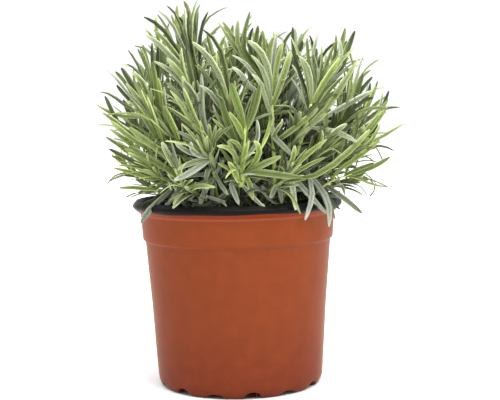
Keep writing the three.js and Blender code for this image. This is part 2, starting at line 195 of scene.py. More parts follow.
# %% [markdown]
# ## The plastics of the pot
#
# The pot is thermoformed from a polypropylene sheet with two layers: terracotta-coloured outside
# and black inside, so that the roots stay in the dark. It could be one material that picks its
# colour by height, but the layers really are two plastics, so they are two materials, and each
# face gets one of them. Forming leaves a satin skin with a faint orange peel. The recycled pigment
# is a little uneven, which gives the soft mottling that shows on the wall. Shade is painted darker
# towards the foot and under the lip, and two pale lines at the folds are painted highlights.

# %% Terracotta polypropylene
MOTTLE_MM, MOTTLE_COLOUR = 7.0, "#934627"  # the pigment's clouds
PEEL_MM = 0.9  # the orange peel is finer on the real pot, but wouldn't show
PEEL_DEEP_MM = 0.02
POT_M = 0.115  # the pot's height, over which the colours run
SHEET_AND_PAINTED_LIGHT = {  # colours by share of the pot's height: painted shade darkest at the foot and under the lip, and pale painted highlights at two folds
    0.0: "#682B18", 0.35: "#73341A", 0.772: "#78371A", 0.782: "#7E3C22", 0.792: "#7B381A",
    0.92: "#7D3A1B", 0.928: "#934F36", 0.936: "#782F13", 1.0: "#782F13",
}

terracotta, tree, shader, place = new_material(
    "terracotta_polypropylene", Roughness=0.5, IOR=1.49, Specular_IOR_Level=0.08,
    Sheen_Weight=0.26, Sheen_Roughness=0.27, Sheen_Tint=linear("#F8DEBC"),
)
up = add_node(tree, "SeparateXYZ", {0: place}, gives="Z")
risen = add_node(tree, "MapRange", {0: up, 2: POT_M})
# the plastic's colour by height, with painted shade at the foot and under the lip and painted highlights on
# the folds
sheet = add_node(tree, "ValToRGB", {0: risen}, stops=SHEET_AND_PAINTED_LIGHT)
clouds = add_node(tree, "TexNoise", {"Vector": place, "Scale": 1 / (MOTTLE_MM * MM), "Detail": 4.0})
share = add_node(tree, "MapRange", {0: clouds, 1: 0.35, 2: 0.75, 4: 0.2})
mottled = add_node(tree, "Mix", {0: share, 6: sheet, 7: MOTTLE_COLOUR}, MIXED, data_type="RGBA")
tree.links.new(mottled, shader.inputs["Base Color"])
peel = add_node(tree, "TexNoise", {"Vector": place, "Scale": 1 / (PEEL_MM * MM), "Detail": 2.0})
bump = add_node(tree, "Bump", {"Height": peel, "Distance": PEEL_DEEP_MM * MM})
tree.links.new(bump, shader.inputs["Normal"])
print(terracotta.name, "has clouds of", MOTTLE_MM, "mm")

# %% Black polypropylene
DUST_MM = 3.0  # drifts of dry potting dust, which make the black greyer and duller
black_plastic, tree, shader, place = new_material("black_polypropylene", IOR=1.49, Specular_IOR_Level=0.12)
specks = add_node(tree, "TexNoise", {"Vector": place, "Scale": 1 / (DUST_MM * MM), "Detail": 7.0})
dust = add_node(tree, "MapRange", {0: specks, 1: 0.45, 2: 0.8})
dusty = add_node(tree, "Mix", {0: dust, 6: "#060606", 7: "#171613"}, MIXED, data_type="RGBA")
tree.links.new(dusty, shader.inputs["Base Color"])
dull = add_node(tree, "MapRange", {0: dust, 3: 0.4, 4: 0.7})
tree.links.new(dull, shader.inputs["Roughness"])
print(black_plastic.name, "has potting dust on it")

# %% [markdown]
# ## The pot
#
# The real pot is one sheet, drawn down into a mould. A modeller could spin a profile and cut the
# feet with a boolean, but a boolean leaves long thin faces that shade badly. Here the whole skin
# is one grid: one parameter runs round the pot, and the other runs along the profile from the
# middle of the underside, up the outside, over the lip, and down the inside to the floor. The
# notches in the foot are lifts of that grid, so their rims stay soft, as in a formed sheet.

# %% The pot's profile, from the solid's sizes
pot_high = np.array(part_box("pot")[1]) / MM
LIP_RADIUS = float(pot_high[1])
POT_HEIGHT = float(pot_high[2])
WALL = 1.0
NOTCH_INNER, NOTCH_INNER_WALL = 43.5, 43.8  # where the notches start, on the outside and the inside
NECK_RADIUS = LIP_RADIUS - 4.8
BODY_RADIUS = LIP_RADIUS - 7.4
SEAM_HEIGHT = 109.8  # where the outer layer ends, under the lip
SEAM_WAVE = 0.35  # how far the seam wanders up and down

# Rings as (radius, height) in mm: from the underside's middle up to the lip, then down inside.
outside = np.array(
    [
        (20, 0), (38, 0), (43.2, 0), (NOTCH_INNER, 0), (43.8, 0), (45.8, 0), (47.6, 0),
        (48.9, 0.35), (49.9, 1.0), (50.4, 1.9), (50.9, 3.0), (51.3, 4.2), (51.5, 6),
        (51.9, 11), (52.8, 24.8), (54.35, 49.5), (56.35, 74.0), (BODY_RADIUS - 0.1, 88.6),
        (BODY_RADIUS + 0.1, 89.5), (58.2, 90.2), (58.9, 90.7), (59.15, 91.4), (59.4, 95),
        (59.8, 100), (NECK_RADIUS, 106.2), (60.5, 106.9), (61.7, 107.9), (63.1, 109.0),
        (63.9, SEAM_HEIGHT), (64.4, 110.4), (64.9, 111.0), (LIP_RADIUS, 111.6),
        (64.8, 112.5), (64.2, 113.3), (63.7, 113.8), (63.3, 114.2), (62.9, 114.8),
        (62.3, POT_HEIGHT), (61.7, 114.6), (61.2, 113.6),
    ]
)
inside = np.array(
    [
        (60.6, 111.0), (59.9, 107), (59.3, 104), (58.4, 95), (58.15, 91.5), (57.2, 90.8),
        (56.6, 89.5), (55.35, 74), (53.35, 49.5), (51.3, 24.8), (50.0, 8), (49.5, 5.2),
        (48.4, 2.6), (47, 1.4), (45.4, WALL), (NOTCH_INNER_WALL, WALL), (42.5, WALL), (42.2, WALL),
        (30, WALL),
    ]
)
print(len(outside) + len(inside), "rings, on a pot", round(POT_HEIGHT, 1), "mm high")

# %% Feet, and slots through every second notch
NOTCHES = 14
NOTCH_TURN = 0.14  # radians from the front, towards +X, to the first drain
DRAIN_HEIGHT, ARCH_HEIGHT = 4.2, 2.8
DRAIN_HALF, ARCH_HALF = 5.5, 6.0
SLOT_HALF = 3.0
FOOT_TOP = 8.0  # the notches lift nothing above this height
NO_DRAIN = 99.0  # stands for a place that is far from every drain
AROUND = NOTCHES * 24


def notch_roof(radius, angle):
    """The height to which the notches lift the sheet: half an ellipse over the distance from a
    notch's middle line, and nothing inside the circle where the notches start."""
    step = 2 * np.pi / NOTCHES
    number = np.round((angle - NOTCH_TURN) / step).astype(int)
    aside = radius * np.sin(angle - NOTCH_TURN - number * step)
    is_drain = number % 2 == 0
    half = np.where(is_drain, DRAIN_HALF, ARCH_HALF)
    rise = np.where(is_drain, DRAIN_HEIGHT, ARCH_HEIGHT)
    roof = rise * np.sqrt(np.clip(1 - (aside / half) ** 2, 0, None))
    return np.where(radius > NOTCH_INNER, roof, 0), np.where(is_drain, np.abs(aside), NO_DRAIN)


def pot_points(rings, thickness):
    """Point (ring, angle) of the skin: the profile turned round Z, lifted where a notch is, and
    moved by a product of two sines of the angle where the seam is."""
    angle = np.linspace(0, 2 * np.pi, AROUND, endpoint=False)[None, :]
    radius, up = rings[:, :1] + 0 * angle, rings[:, 1:] + 0 * angle
    roof, from_drain = notch_roof(radius + thickness, angle)
    lifted = np.maximum(up, np.where(roof > 0, roof + thickness, 0))
    wave = SEAM_WAVE * np.sin(3 * angle + 0.6) * np.sin(7 * angle)
    up = np.where(up < FOOT_TOP, lifted, up + np.where(up == SEAM_HEIGHT, wave, 0))
    return np.stack([radius * np.sin(angle), -radius * np.cos(angle), up], -1), from_drain


outer, from_drain = pot_points(outside, 0.0)
inner, _ = pot_points(inside, WALL)
print("the skin has", len(outer) + len(inner), "rings of", AROUND, "points")

# %% The cells of the skin, and the ones that the slots leave out
rings = len(outside) + len(inside)
middles = [(0, 0, 0), (0, 0, WALL)]  # of the underside and of the floor inside
pot_skin = np.concatenate([outer.reshape(-1, 3), inner.reshape(-1, 3), middles])
cells = grid_faces(rings, AROUND)
ring, column = cells[:, 0] // AROUND, cells[:, 0] % AROUND
riser_out = int(np.flatnonzero(outside[:, 0] == NOTCH_INNER)[0])  # a slot goes through this riser
riser_in = len(outside) + int(np.flatnonzero(inside[:, 0] == NOTCH_INNER_WALL)[0])
is_open = (from_drain[riser_out] < SLOT_HALF) & (np.roll(from_drain[riser_out], -1) < SLOT_HALF)
gone = ((ring == riser_out) | (ring == riser_in)) & is_open[column]
print(int(gone.sum()), "cells are left out, for the slots of", NOTCHES // 2, "drains")


# %% The slots' edges, which join the outer sheet to the inner one
def slot_edges():
    """Faces between the rim of each slot in the outer skin and its rim in the inner one: along
    the low and the high side of every open column, and across at the slot's two ends."""
    here = np.flatnonzero(is_open)
    beside = (here + 1) % AROUND
    low_out, high_out = riser_out * AROUND, (riser_out + 1) * AROUND
    high_in, low_in = riser_in * AROUND, (riser_in + 1) * AROUND
    low = np.stack([low_out + beside, low_out + here, low_in + here, low_in + beside], -1)
    high = np.stack([high_out + here, high_out + beside, high_in + beside, high_in + here], -1)
    start, end = here[~is_open[here - 1]], beside[~is_open[beside]]
    left = np.stack([low_out + start, high_out + start, high_in + start, low_in + start], -1)
    right = np.stack([high_out + end, low_out + end, low_in + end, high_in + end], -1)
    return np.concatenate([low, high, left, right])


edges = slot_edges()
fans = end_fans(rings, AROUND)
seam_ring = int(np.flatnonzero(outside[:, 1] == SEAM_HEIGHT)[0])
is_black = (ring >= seam_ring)[~gone]
pot_paint = np.concatenate([is_black, np.zeros(len(edges)), np.arange(len(fans)) >= AROUND])
pot = new_piece(
    "nursery_pot", pot_skin, [np.concatenate([cells[~gone], edges]), fans],
    [terracotta, black_plastic], ["pot"], pot_paint,
)
print(pot.name, "has", len(pot.data.polygons), "faces")

# %% [markdown]
# ## The potting soil
#
# Nursery soil is dark bark and peat. Its surface could be displaced by a modifier, but the same
# soft lumps as in the solid are wanted, so they are worked out by the solid's formula, with finer
# grains on top. Loose crumbs lie on it, each a small lump with few faces.

# %% Peat and bark
GRAIN_MM, GRAIN_DEEP_MM = 1.6, 0.9
PORE_MM, PORE_DEEP_MM = 0.8, 0.2
soil_finish, tree, shader, place = new_material("peat_and_bark", Roughness=0.95, IOR=1.4)
PEAT = {0.3: "#0C0A08", 0.55: "#1A1511", 0.75: "#33271D"}
grainy = {"Vector": place, "Scale": 1 / (GRAIN_MM * MM), "Detail": 8.0, "Roughness": 0.7}
grain = add_node(tree, "TexNoise", grainy)
peat = add_node(tree, "ValToRGB", {0: grain}, stops=PEAT)
tree.links.new(peat, shader.inputs["Base Color"])
bump = add_node(tree, "Bump", {"Height": grain, "Distance": GRAIN_DEEP_MM * MM})
tree.links.new(bump, shader.inputs["Normal"])

crumb_finish, tree, shader, place = new_material("bark_crumb", Roughness=0.9, IOR=1.4)
kind = add_node(tree, "Attribute", gives="Fac", attribute_name="kind")
BARKS = {0: "#0F0C0A", 0.5: "#211913", 0.85: "#40301F", 1: "#8A8272"}  # wet bark to a dry chip
bark = add_node(tree, "ValToRGB", {0: kind}, stops=BARKS)
pores = add_node(tree, "TexNoise", {"Vector": place, "Scale": 1 / (PORE_MM * MM), "Detail": 5.0})
share = add_node(tree, "MapRange", {0: pores, 1: 0.35, 2: 0.7, 4: 0.5})
rough = add_node(tree, "Mix", {0: share, 6: bark, 7: "#0A0807"}, MIXED, data_type="RGBA")
tree.links.new(rough, shader.inputs["Base Color"])
bump = add_node(tree, "Bump", {"Height": pores, "Distance": PORE_DEEP_MM * MM})
tree.links.new(bump, shader.inputs["Normal"])
print("soil materials:", soil_finish.name, "and", crumb_finish.name)


# %% The soil's surface
SOIL_LEVEL, MOUND, LUMPS = 103.0, 3.0, 0.9  # height at the pot, rise to the middle, and lumps, in mm
SOIL_REACH = 58.0


def soil_height(x, y):
    """A low mound with soft lumps that die out towards the pot: the solid's own formula."""
    out = np.minimum(1, np.hypot(x, y) / SOIL_REACH)
    lumps = np.sin(x * 0.31 + 1.3) * np.cos(y * 0.27) + 0.6 * np.sin(x * 0.13 - y * 0.41)
    lumps = lumps + 0.5 * np.cos(x * 0.47 + y * 0.19 + 0.7)
    return SOIL_LEVEL + MOUND * (1 - out**2) + LUMPS * lumps * (1 - out**6)


def grains(x, y):
    """Crumbly relief: the sum of four folded waves, each |sin * cos| in its own direction."""
    size = np.array([5.3, 3.7, 2.3, 1.6]).reshape(4, *[1] * np.ndim(x))
    number = np.arange(4).reshape(size.shape)
    turn = 2.4 * number + 0.5
    along, across = x * np.cos(turn) + y * np.sin(turn), y * np.cos(turn) - x * np.sin(turn)
    return (size * 0.16 * np.abs(np.sin(along / size * 2 + number) * np.cos(across / size * 1.7))).sum(0)


SOIL_RADIUS, SOIL_FOOT = 58.2, 1.3
SOIL_ROUND, TOP_RINGS, LAST_RING = 180, 46, 1.2  # points round, rings on top, and the last's radius
GRAINS_SUNK = 0.5
edge = np.array([(41, SOIL_FOOT), (42, 6.3), (48.6, 6.3), (55.6, 89.5), (57.9, 100.5)])
top = np.column_stack([np.linspace(SOIL_RADIUS, LAST_RING, TOP_RINGS), np.full(TOP_RINGS, SOIL_LEVEL)])
soil_rings = np.concatenate([edge, top])
angle = np.linspace(0, 2 * np.pi, SOIL_ROUND, endpoint=False)
x, y = soil_rings[:, :1] * np.cos(angle), soil_rings[:, :1] * np.sin(angle)
relief = soil_height(x, y) + grains(x, y) - GRAINS_SUNK
z = np.where(soil_rings[:, 1:] == SOIL_LEVEL, relief, soil_rings[:, 1:])
middles = [(0, 0, SOIL_FOOT), (0, 0, z[-1].mean())]
soil_points = np.concatenate([np.stack([x, y, z], -1).reshape(-1, 3), middles])
soil_faces = [grid_faces(len(soil_rings), SOIL_ROUND), end_fans(len(soil_rings), SOIL_ROUND)]
new_piece("potting_soil", soil_points, soil_faces, [soil_finish], ["soil"])
print("the soil's top lies between", round(z[len(edge):].min(), 1), "and", round(z.max(), 1), "mm")

# %% Crumbs of bark on the soil
CRUMBS = 420
CRUMB_MM = (0.8, 3.4)
CRUMB_FIELD = 57.0  # they lie within this radius
CRUMB_SUNK = 0.4
rng = np.random.default_rng(7)
golden = (1 + 5**0.5) / 2
ball = np.array(
    [
        (-1, golden, 0), (1, golden, 0), (-1, -golden, 0), (1, -golden, 0),
        (0, -1, golden), (0, 1, golden), (0, -1, -golden), (0, 1, -golden),
        (golden, 0, -1), (golden, 0, 1), (-golden, 0, -1), (-golden, 0, 1),
    ]
) / np.hypot(1, golden)
ball_faces = np.array(
    [
        (0, 11, 5), (0, 5, 1), (0, 1, 7), (0, 7, 10), (0, 10, 11),
        (1, 5, 9), (5, 11, 4), (11, 10, 2), (10, 7, 6), (7, 1, 8),
        (3, 9, 4), (3, 4, 2), (3, 2, 6), (3, 6, 8), (3, 8, 9),
        (4, 9, 5), (2, 4, 11), (6, 2, 10), (8, 6, 7), (9, 8, 1),
    ]
)


def scattered_crumbs(count):
    """Lumps with twelve corners each: a ball squashed unevenly, turned, and set into the soil."""
    radius = CRUMB_FIELD * np.sqrt(rng.uniform(0.0, 1, count))
    turn, spin = rng.uniform(0, 2 * np.pi, (2, count))
    size = rng.uniform(*CRUMB_MM, count) * rng.uniform(0.4, 1, count)
    stretch = np.stack([size, size * rng.uniform(0.4, 0.8, count), size * rng.uniform(0.3, 0.5, count)], -1)
    lump = ball[None] * stretch[:, None] * rng.uniform(0.75, 1.2, (count, 12, 1)) * 0.6
    c, s = np.cos(spin)[:, None], np.sin(spin)[:, None]
    wide, deep, tall = np.moveaxis(lump, -1, 0)
    lump = np.stack([wide * c - deep * s, wide * s + deep * c, tall], -1)
    x, y = radius * np.cos(turn), radius * np.sin(turn)
    centre = np.stack([x, y, soil_height(x, y) + grains(x, y) - CRUMB_SUNK], -1)
    return lump + centre[:, None], np.repeat(rng.uniform(0, 1, count) ** 1.5, 12)


crumb_points, crumb_kind = scattered_crumbs(CRUMBS)
crumb_faces = (ball_faces[None] + 12 * np.arange(CRUMBS)[:, None, None]).reshape(-1, 3)
crumbs = new_piece(
    "bark_crumbs", crumb_points.reshape(-1, 3), [crumb_faces], [crumb_finish],
    values={"kind": crumb_kind},
)
crumbs.data.shade_flat()
print(CRUMBS, "crumbs of", CRUMB_MM, "mm")

# %% [markdown]
# ## Reading the shoots
#
# In the solid, a leaf is a net of seven points: three at 40% of its length, three at 80%, and its
# tip. A tip is the only kind of point with just three neighbours, so it can be told from the rest,
# and walking back from it gives the two sections and the four points where the leaf leaves the
# stem. What is left over is the stem: rings of four points, one above the other.

# %% From a solid's triangles to a net of neighbours
def net_of(node):
    """A solid's points in mm, merged where they coincide, and which of them are neighbours."""
    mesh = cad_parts[node].data
    points = np.empty(len(mesh.vertices) * 3)
    mesh.vertices.foreach_get("co", points)
    corners = np.empty(len(mesh.loops), int)
    mesh.loops.foreach_get("vertex_index", corners)
    merged, number = np.unique(np.round(points.reshape(-1, 3) / MM, 3), axis=0, return_inverse=True)
    triangles = number.ravel()[corners].reshape(-1, 3)
    joined = np.zeros((len(merged), len(merged)), bool)
    for a, b in ((0, 1), (1, 2), (2, 0)):
        joined[triangles[:, a], triangles[:, b]] = True
    return merged, joined | joined.T


def leaf_of(points, joined, tip):
    """Walks back from a tip: gives the centre and the two edges of both sections, and its root."""
    end = joined[tip].copy()
    middle = joined[end].any(0) & ~end
    middle[tip] = False
    root = joined[middle].any(0) & ~end & ~middle
    sections = []
    for section in (points[middle], points[end]):
        pairs = [(section[i], section[(i + 1) % 3]) for i in range(3)]
        sections.append(max(pairs, key=lambda pair: np.linalg.norm(pair[1] - pair[0])))
    return sections, points[root].mean(0), end | middle


points, joined = net_of(shoot_names[0])
print(len(points), "points in", shoot_names[0], "and", int((joined.sum(0) == 3).sum()), "have 3 neighbours")


# %% Stem and leaves of every shoot
LOWEST_TIP = 105.0  # no leaf's tip is lower, but the stem's foot is
DEGREE = 4  # of the polynomial that a stem follows


def rings_of(points, joined, is_stem):
    """The stem's rings of four from the foot up: each is what the one below is joined to."""
    left = is_stem.copy()
    ring = np.zeros_like(left)
    ring[np.argsort(np.where(is_stem, points[:, 2], np.inf))[:4]] = True
    rings = []
    while ring.any():
        rings.append(points[ring])
        left &= ~ring
        ring = joined[ring].any(0) & left
    return np.array(rings)


def read_shoot(node):
    """A shoot's stem as a polynomial near its rings' centres, and its leaves as arrays."""
    points, joined = net_of(node)
    tips = np.flatnonzero((joined.sum(0) == 3) & (points[:, 2] > LOWEST_TIP))
    is_stem = np.ones(len(points), bool)
    lines, sides = [], []
    for tip in tips:
        sections, root, own = leaf_of(points, joined, tip)
        is_stem &= ~own
        is_stem[tip] = False
        lines.append([root, *(np.mean(pair, 0) for pair in sections), points[tip]])
        sides.append([pair[1] - pair[0] for pair in sections])
    rings = rings_of(points, joined, is_stem)
    centres = rings.mean(1)
    length = np.concatenate([[0], np.cumsum(np.linalg.norm(np.diff(centres, axis=0), axis=1))])
    curve = np.polyfit(length / length[-1], centres, DEGREE)
    half = np.linalg.norm(rings - centres[:, None], axis=2).mean(1) / np.sqrt(2)
    return {
        "name": node, "curve": curve, "length": length[-1], "half": (half[0], half[-1]),
        "nodes_at": length[3:] / length[-1], "lines": np.array(lines), "sides": np.array(sides),
    }


shoots = [read_shoot(name) for name in shoot_names]
print(sum(len(shoot["lines"]) for shoot in shoots), "leaves found on", len(shoots), "stems")
print("the longest stem is", round(max(shoot["length"] for shoot in shoots)), "mm long")


# %% A stem's curve
def on_stem(shoot, t):
    """Points of a stem at t from 0 to 1, and its directions there, from its polynomial."""
    powers = np.arange(DEGREE, -1, -1)
    t = np.atleast_1d(t)[:, None]
    place = (t**powers) @ shoot["curve"]
    slope = (powers[:-1] * t ** (powers[:-1] - 1)) @ shoot["curve"][:-1]
    return place, slope / np.linalg.norm(slope, axis=1, keepdims=True)


def unit(vectors):
    """Vectors scaled to length 1 along the last axis."""
    return vectors / np.linalg.norm(vectors, axis=-1, keepdims=True)


print("first stem's tip in mm:", on_stem(shoots[0], 1.0)[0].round(1)[0])

# %% [markdown]
# ## Sweeping a section along a curve
#
# Leaves, stems and twigs are all a closed outline carried along a curve, so one function makes
# them, many at once: it takes arrays of curves, not one curve. At each step the outline is laid
# out on two directions, one across the blade and one off its upper face, and a twist turns them
# about the curve. The faces are the same for every leaf, with a count added.

# %% One sweep for every leaf
def sweep(lines, across, widths, heights, section, twist=0.0):
    """Carries a closed section along many curves at once.

    lines and across are (leaf, step, 3), widths, heights and twist are (leaf, step), and section
    is (corner, 2). Point = line + across * width * section x + above * height * section z, where
    above is square to the curve and to across. Gives (leaf, point, 3), with the two end points of
    each leaf last, and the faces."""
    way = unit(np.gradient(lines, axis=1))
    across = unit(across - (across * way).sum(-1, keepdims=True) * way)
    above = np.cross(way, across)
    twist = np.broadcast_to(twist, widths.shape)[..., None]
    across = across * np.cos(twist) + above * np.sin(twist)
    above = np.cross(way, across)
    flat = (across * widths[..., None])[:, :, None] * section[:, 0][:, None]
    proud = (above * heights[..., None])[:, :, None] * section[:, 1][:, None]
    rings = lines[:, :, None] + flat + proud
    leaves, steps, corners = rings.shape[:3]
    points = np.concatenate([rings.reshape(leaves, -1, 3), lines[:, [0, -1]]], axis=1)
    shift = points.shape[1] * np.arange(leaves)[:, None, None]
    faces = [grid_faces(steps, corners), end_fans(steps, corners)]
    return points, [(kind + shift).reshape(-1, kind.shape[1]) for kind in faces]


print("a leaf of 8 steps and 6 corners has", len(grid_faces(8, 6)) + len(end_fans(8, 6)), "faces")

# %% [markdown]
# ## The shape of a leaf
#
# A lavender leaf is a narrow strap, 20 to 40 mm long, whose margins roll under and whose middle
# is a groove. Its end is blunt and rounded. A flat strip with a bump map could stand in for it,
# but the rolled margin catches the light all along the leaf, so it is in the section: six corners,
# with two humps, a groove between them and a rib below.

# %% Leaf section and outline
LEAF_SECTION = np.array([(1, -0.45), (0.6, 0.32), (0, -0.16), (-0.6, 0.32), (-1, -0.45), (0, -0.7)])
STEPS = np.array([0, 0.13, 0.3, 0.5, 0.7, 0.87, 0.96, 1.0])
NECK_SHARE = 0.4  # how wide the blade is where it leaves the stem
WIDEST_AT = 0.6  # where it has its full width
BLUNT_FROM = 0.7  # where the rounded end starts
POINTED_FROM, POINTED_SHARE = 0.4, 0.62  # where a pointed leaf starts to taper, and by how much
THICK_SHARE = 0.27  # thickness over width: the rolled margins make the leaf look thick
NEAR_SECTION, FAR_SECTION = 0.4, 0.8  # where the solid's leaf has its two sections


def leaf_width(t, pointed=0.0):
    """Share of the full width at t: a narrow neck that opens like a sine, then an even strap, and
    a rounded end that closes like a quarter of an ellipse. A pointed leaf also tapers from its
    middle on, by a power of the way that is left."""
    opening = NECK_SHARE + (1 - NECK_SHARE) * np.sin(np.clip(t / WIDEST_AT, 0, 1) * np.pi / 2)
    closing = np.sqrt(np.clip(1 - np.clip((t - BLUNT_FROM) / (1.0 - BLUNT_FROM), 0, 1) ** 3, 0.08, 1))
    taper = 1 - POINTED_SHARE * pointed * np.clip((t - POINTED_FROM) / (1.0 - POINTED_FROM), 0, 1) ** 1.3
    return opening * closing * taper


def through_four(lines):
    """Smooth curves through root, both sections and tip: the cubic that meets all four."""
    at = np.array([0, NEAR_SECTION, FAR_SECTION, 1.0])
    basis = [np.prod([(STEPS - b) / (a - b) for b in at if b != a], axis=0) for a in at]
    return np.einsum("sk,nkc->nsc", np.array(basis).T, lines)


print("width along a blunt leaf:  ", leaf_width(STEPS).round(2))
print("width along a pointed leaf:", leaf_width(STEPS, 1).round(2))

# %% [markdown]
# ## The leaves of the solids
#
# The leaves that the solids hold are the frame of the bush. They keep their places and their
# lines, and get slimmer, because a solid needs a thickness that a real leaf doesn't have.

# %% A bunch of leaves is a dictionary of arrays
SLIMMER = (0.62, 0.92)
DRAWN_IN = 0.3  # share of its spread that a leaf loses half way, so that it arches out to its tip
WEAK_BELOW, STRONG_ABOVE = 125.0, 170.0  # heights of a shoot's tip between which its leaves grow
LEAST_LONG, LEAST_WIDE, LEAST_GROWN = 0.66, 0.8, 0.6  # shares left to leaves on the weakest shoot
STEM_SPOTS = 60  # places along a stem that are compared with a leaf's root


def vigour_of(shoot, least):
    """How large a shoot's leaves are: from the least share on the low outer shoots, which stand in
    the shade of the rest, to 1 on the tall ones."""
    z = on_stem(shoot, 1.0)[0][0, 2]
    return least + (1 - least) * np.clip((z - WEAK_BELOW) / (STRONG_ABOVE - WEAK_BELOW), 0, 1)


def solid_leaves(shoot):
    """The solid's own leaves: their curves, their sideways directions, turned so that the upper
    face looks towards the stem's tip and away from outwards, and their places on the stem."""
    lines = through_four(shoot["lines"])
    between = np.clip(STEPS, NEAR_SECTION, FAR_SECTION)[None, :, None]
    share = (between - NEAR_SECTION) / (FAR_SECTION - NEAR_SECTION)
    across = unit(shoot["sides"][:, :1] * (1 - share) + shoot["sides"][:, 1:] * share)
    stem, stem_way = on_stem(shoot, np.linspace(0, 1, STEM_SPOTS))
    number = np.linalg.norm(lines[:, :1] - stem[None], axis=2).argmin(1)
    root, way = lines[:, :1], stem_way[number][:, None]
    risen = ((lines - root) * way).sum(-1, keepdims=True) * way
    lines = root + risen + (lines - root - risen) * (1 - DRAWN_IN * np.sin(np.pi * STEPS[:, None]))
    lines = root + (lines - root) * vigour_of(shoot, LEAST_LONG)
    outward = unit(lines[:, 4] - stem[number])
    above = np.cross(unit(lines[:, 5] - lines[:, 3]), across[:, 4])
    flip = np.sign((above * (stem_way[number] - outward)).sum(1))
    widths = np.linalg.norm(shoot["sides"][:, 0], axis=1) * rng.uniform(*SLIMMER, len(lines))
    widths = widths * vigour_of(shoot, LEAST_WIDE)
    across = across * flip[:, None, None]
    return {"lines": lines, "across": across, "widths": widths, "at": number / (STEM_SPOTS - 1)}


rng = np.random.default_rng(11)
bunches = {shoot["name"]: [solid_leaves(shoot)] for shoot in shoots}
print("the first shoot's leaves are", bunches[shoot_names[0]][0]["widths"].round(1), "mm wide")

# %% [markdown]
# ## Leaves that are known one by one
#
# In front, one bright young shoot stands before the rest, old leaves hang over the pot's lip, and
# the leaves at the bush's outside show one by one. The eye goes there first, so a rule won't do.
# Each of these leaves is read off the photograph: a few pixels along its middle line. A pixel is a
# ray from the camera, and the point is where the ray has come far enough in front of the pot's
# axis. That distance is written beside each pixel, in mm, or follows from the bush's egg shape.
# The first point is joined to a stem close behind it, and what would lie in the soil or the lip is
# lifted clear, so that every leaf is carried, from whichever side it is seen.

# %% From a pixel and a distance to a place
PICTURE = (500, 400)  # the photograph's width and height in pixels


def from_picture(spots):
    """Places in mm of (pixels right, pixels down, mm in front of the axis): the camera's ray
    through the pixel, followed until it is that far in front."""
    spots = np.array(spots, float)
    turn = np.array(camera.matrix_world.to_3x3())
    aside = (spots[:, :2] - np.array(PICTURE) / 2) * (1, -1) * SENSOR_MM / LENS_MM / PICTURE[0]
    rays = np.column_stack([aside, np.full(len(spots), -1.0)]) @ turn.T
    start = np.array(CAMERA_PLACE) / MM
    return start + rays * ((-spots[:, 2] - start[1]) / rays[:, 1])[:, None]


print("the middle of the picture, at the axis:", from_picture([(250, 200, 0)]).round(1)[0])

# %% Clear of soil and lip
LIP_TOP_RADIUS = 62.3
LIP_HALF, LIP_DROP = 2.7, 3.4  # how wide the lip's round top is to each side, and how far it falls
LIP_INNER = 59.5  # inside this radius a leaf meets the soil, and outside it the lip
LEAF_ROOM = 0.8  # from the middle of a leaf to what it lies on


def lifted_clear(points):
    """Points moved out of the pot: up to the soil's surface or to the lip's round top, a parabola
    over the radius, and outwards where they hang beside the lip."""
    x, y, z = np.moveaxis(points, -1, 0)
    out = np.hypot(x, y)
    lip = POT_HEIGHT - LIP_DROP * ((out - LIP_TOP_RADIUS) / LIP_HALF) ** 2
    under = np.where(out < LIP_INNER, soil_height(x, y), np.where(out < LIP_RADIUS, lip, 0))
    below = under + LEAF_ROOM
    beside = (out >= LIP_RADIUS) & (z < POT_HEIGHT)
    wide = np.where(beside, np.maximum(1, (LIP_RADIUS + LEAF_ROOM) / out), 1)
    return np.stack([x * wide, y * wide, np.maximum(z, below)], -1)


print("a point inside the lip goes to", lifted_clear(np.array([LIP_TOP_RADIUS, 0, 112])).round(1))


# %% Smooth lines through the points, rooted on a stem
LINE_POINTS = 41  # a line is smoothed at this many points
STEM_POINTS = 12
FOOT_RADIUS = 46.0  # no young stem leaves the soil further out than this
FOOT_NEARER, FOOT_SUNK = 0.78, 3.0  # nearer to the axis than its first point, and below the soil
STEM_PASSES = 80
LEAFY_FROM = 3  # leaves sit on a young stem from its fourth point on


def smooth_line(points, at, passes=50):
    """A smooth curve near the points: they are joined by straight steps, each inner point is
    moved again and again to the mean of itself and its neighbours, and the curve is read at
    shares of its length."""
    length = np.concatenate([[0], np.cumsum(np.linalg.norm(np.diff(points, axis=0), axis=1))])
    fine = np.linspace(0, length[-1], LINE_POINTS)
    line = np.column_stack([np.interp(fine, length, column) for column in points.T])
    for _ in range(passes):
        line[1:-1] = (line[:-2] + 2 * line[1:-1] + line[2:]) / 4
    line = lifted_clear(line)
    length = np.concatenate([[0], np.cumsum(np.linalg.norm(np.diff(line, axis=0), axis=1))])
    return np.column_stack([np.interp(at * length[-1], length, column) for column in line.T])


def on_nearest(points, carriers):
    """The points with a point of a stem put before them, a near one that lies behind the leaf:
    the cost of each is 2 * distance - the part of it that continues the leaf backwards."""
    back = (points[0] - points[1]) / np.linalg.norm(points[0] - points[1])
    off = carriers - points[0]
    foot = carriers[(2 * np.linalg.norm(off, axis=1) - off @ back).argmin()]
    return np.concatenate([foot[None], points])


def from_soil(points):
    """A stem through the points that starts under the soil, nearer to the axis than its first
    point."""
    nearer = min(FOOT_NEARER, FOOT_RADIUS / np.hypot(*points[0, :2]))
    foot = points[0] * np.array([1, 1, 0]) * nearer
    foot[2] = soil_height(*foot[:2]) + LEAF_ROOM
    line = np.concatenate([foot[None], points])
    line = smooth_line(line, np.linspace(0, 1, STEM_POINTS), STEM_PASSES)
    line[0, 2] -= FOOT_SUNK
    return line


along_stems = np.linspace(0.05, 1, STEM_SPOTS)
stem_spots = np.concatenate([on_stem(shoot, along_stems)[0] for shoot in shoots])
print(len(stem_spots), "places on the stems can carry a leaf")

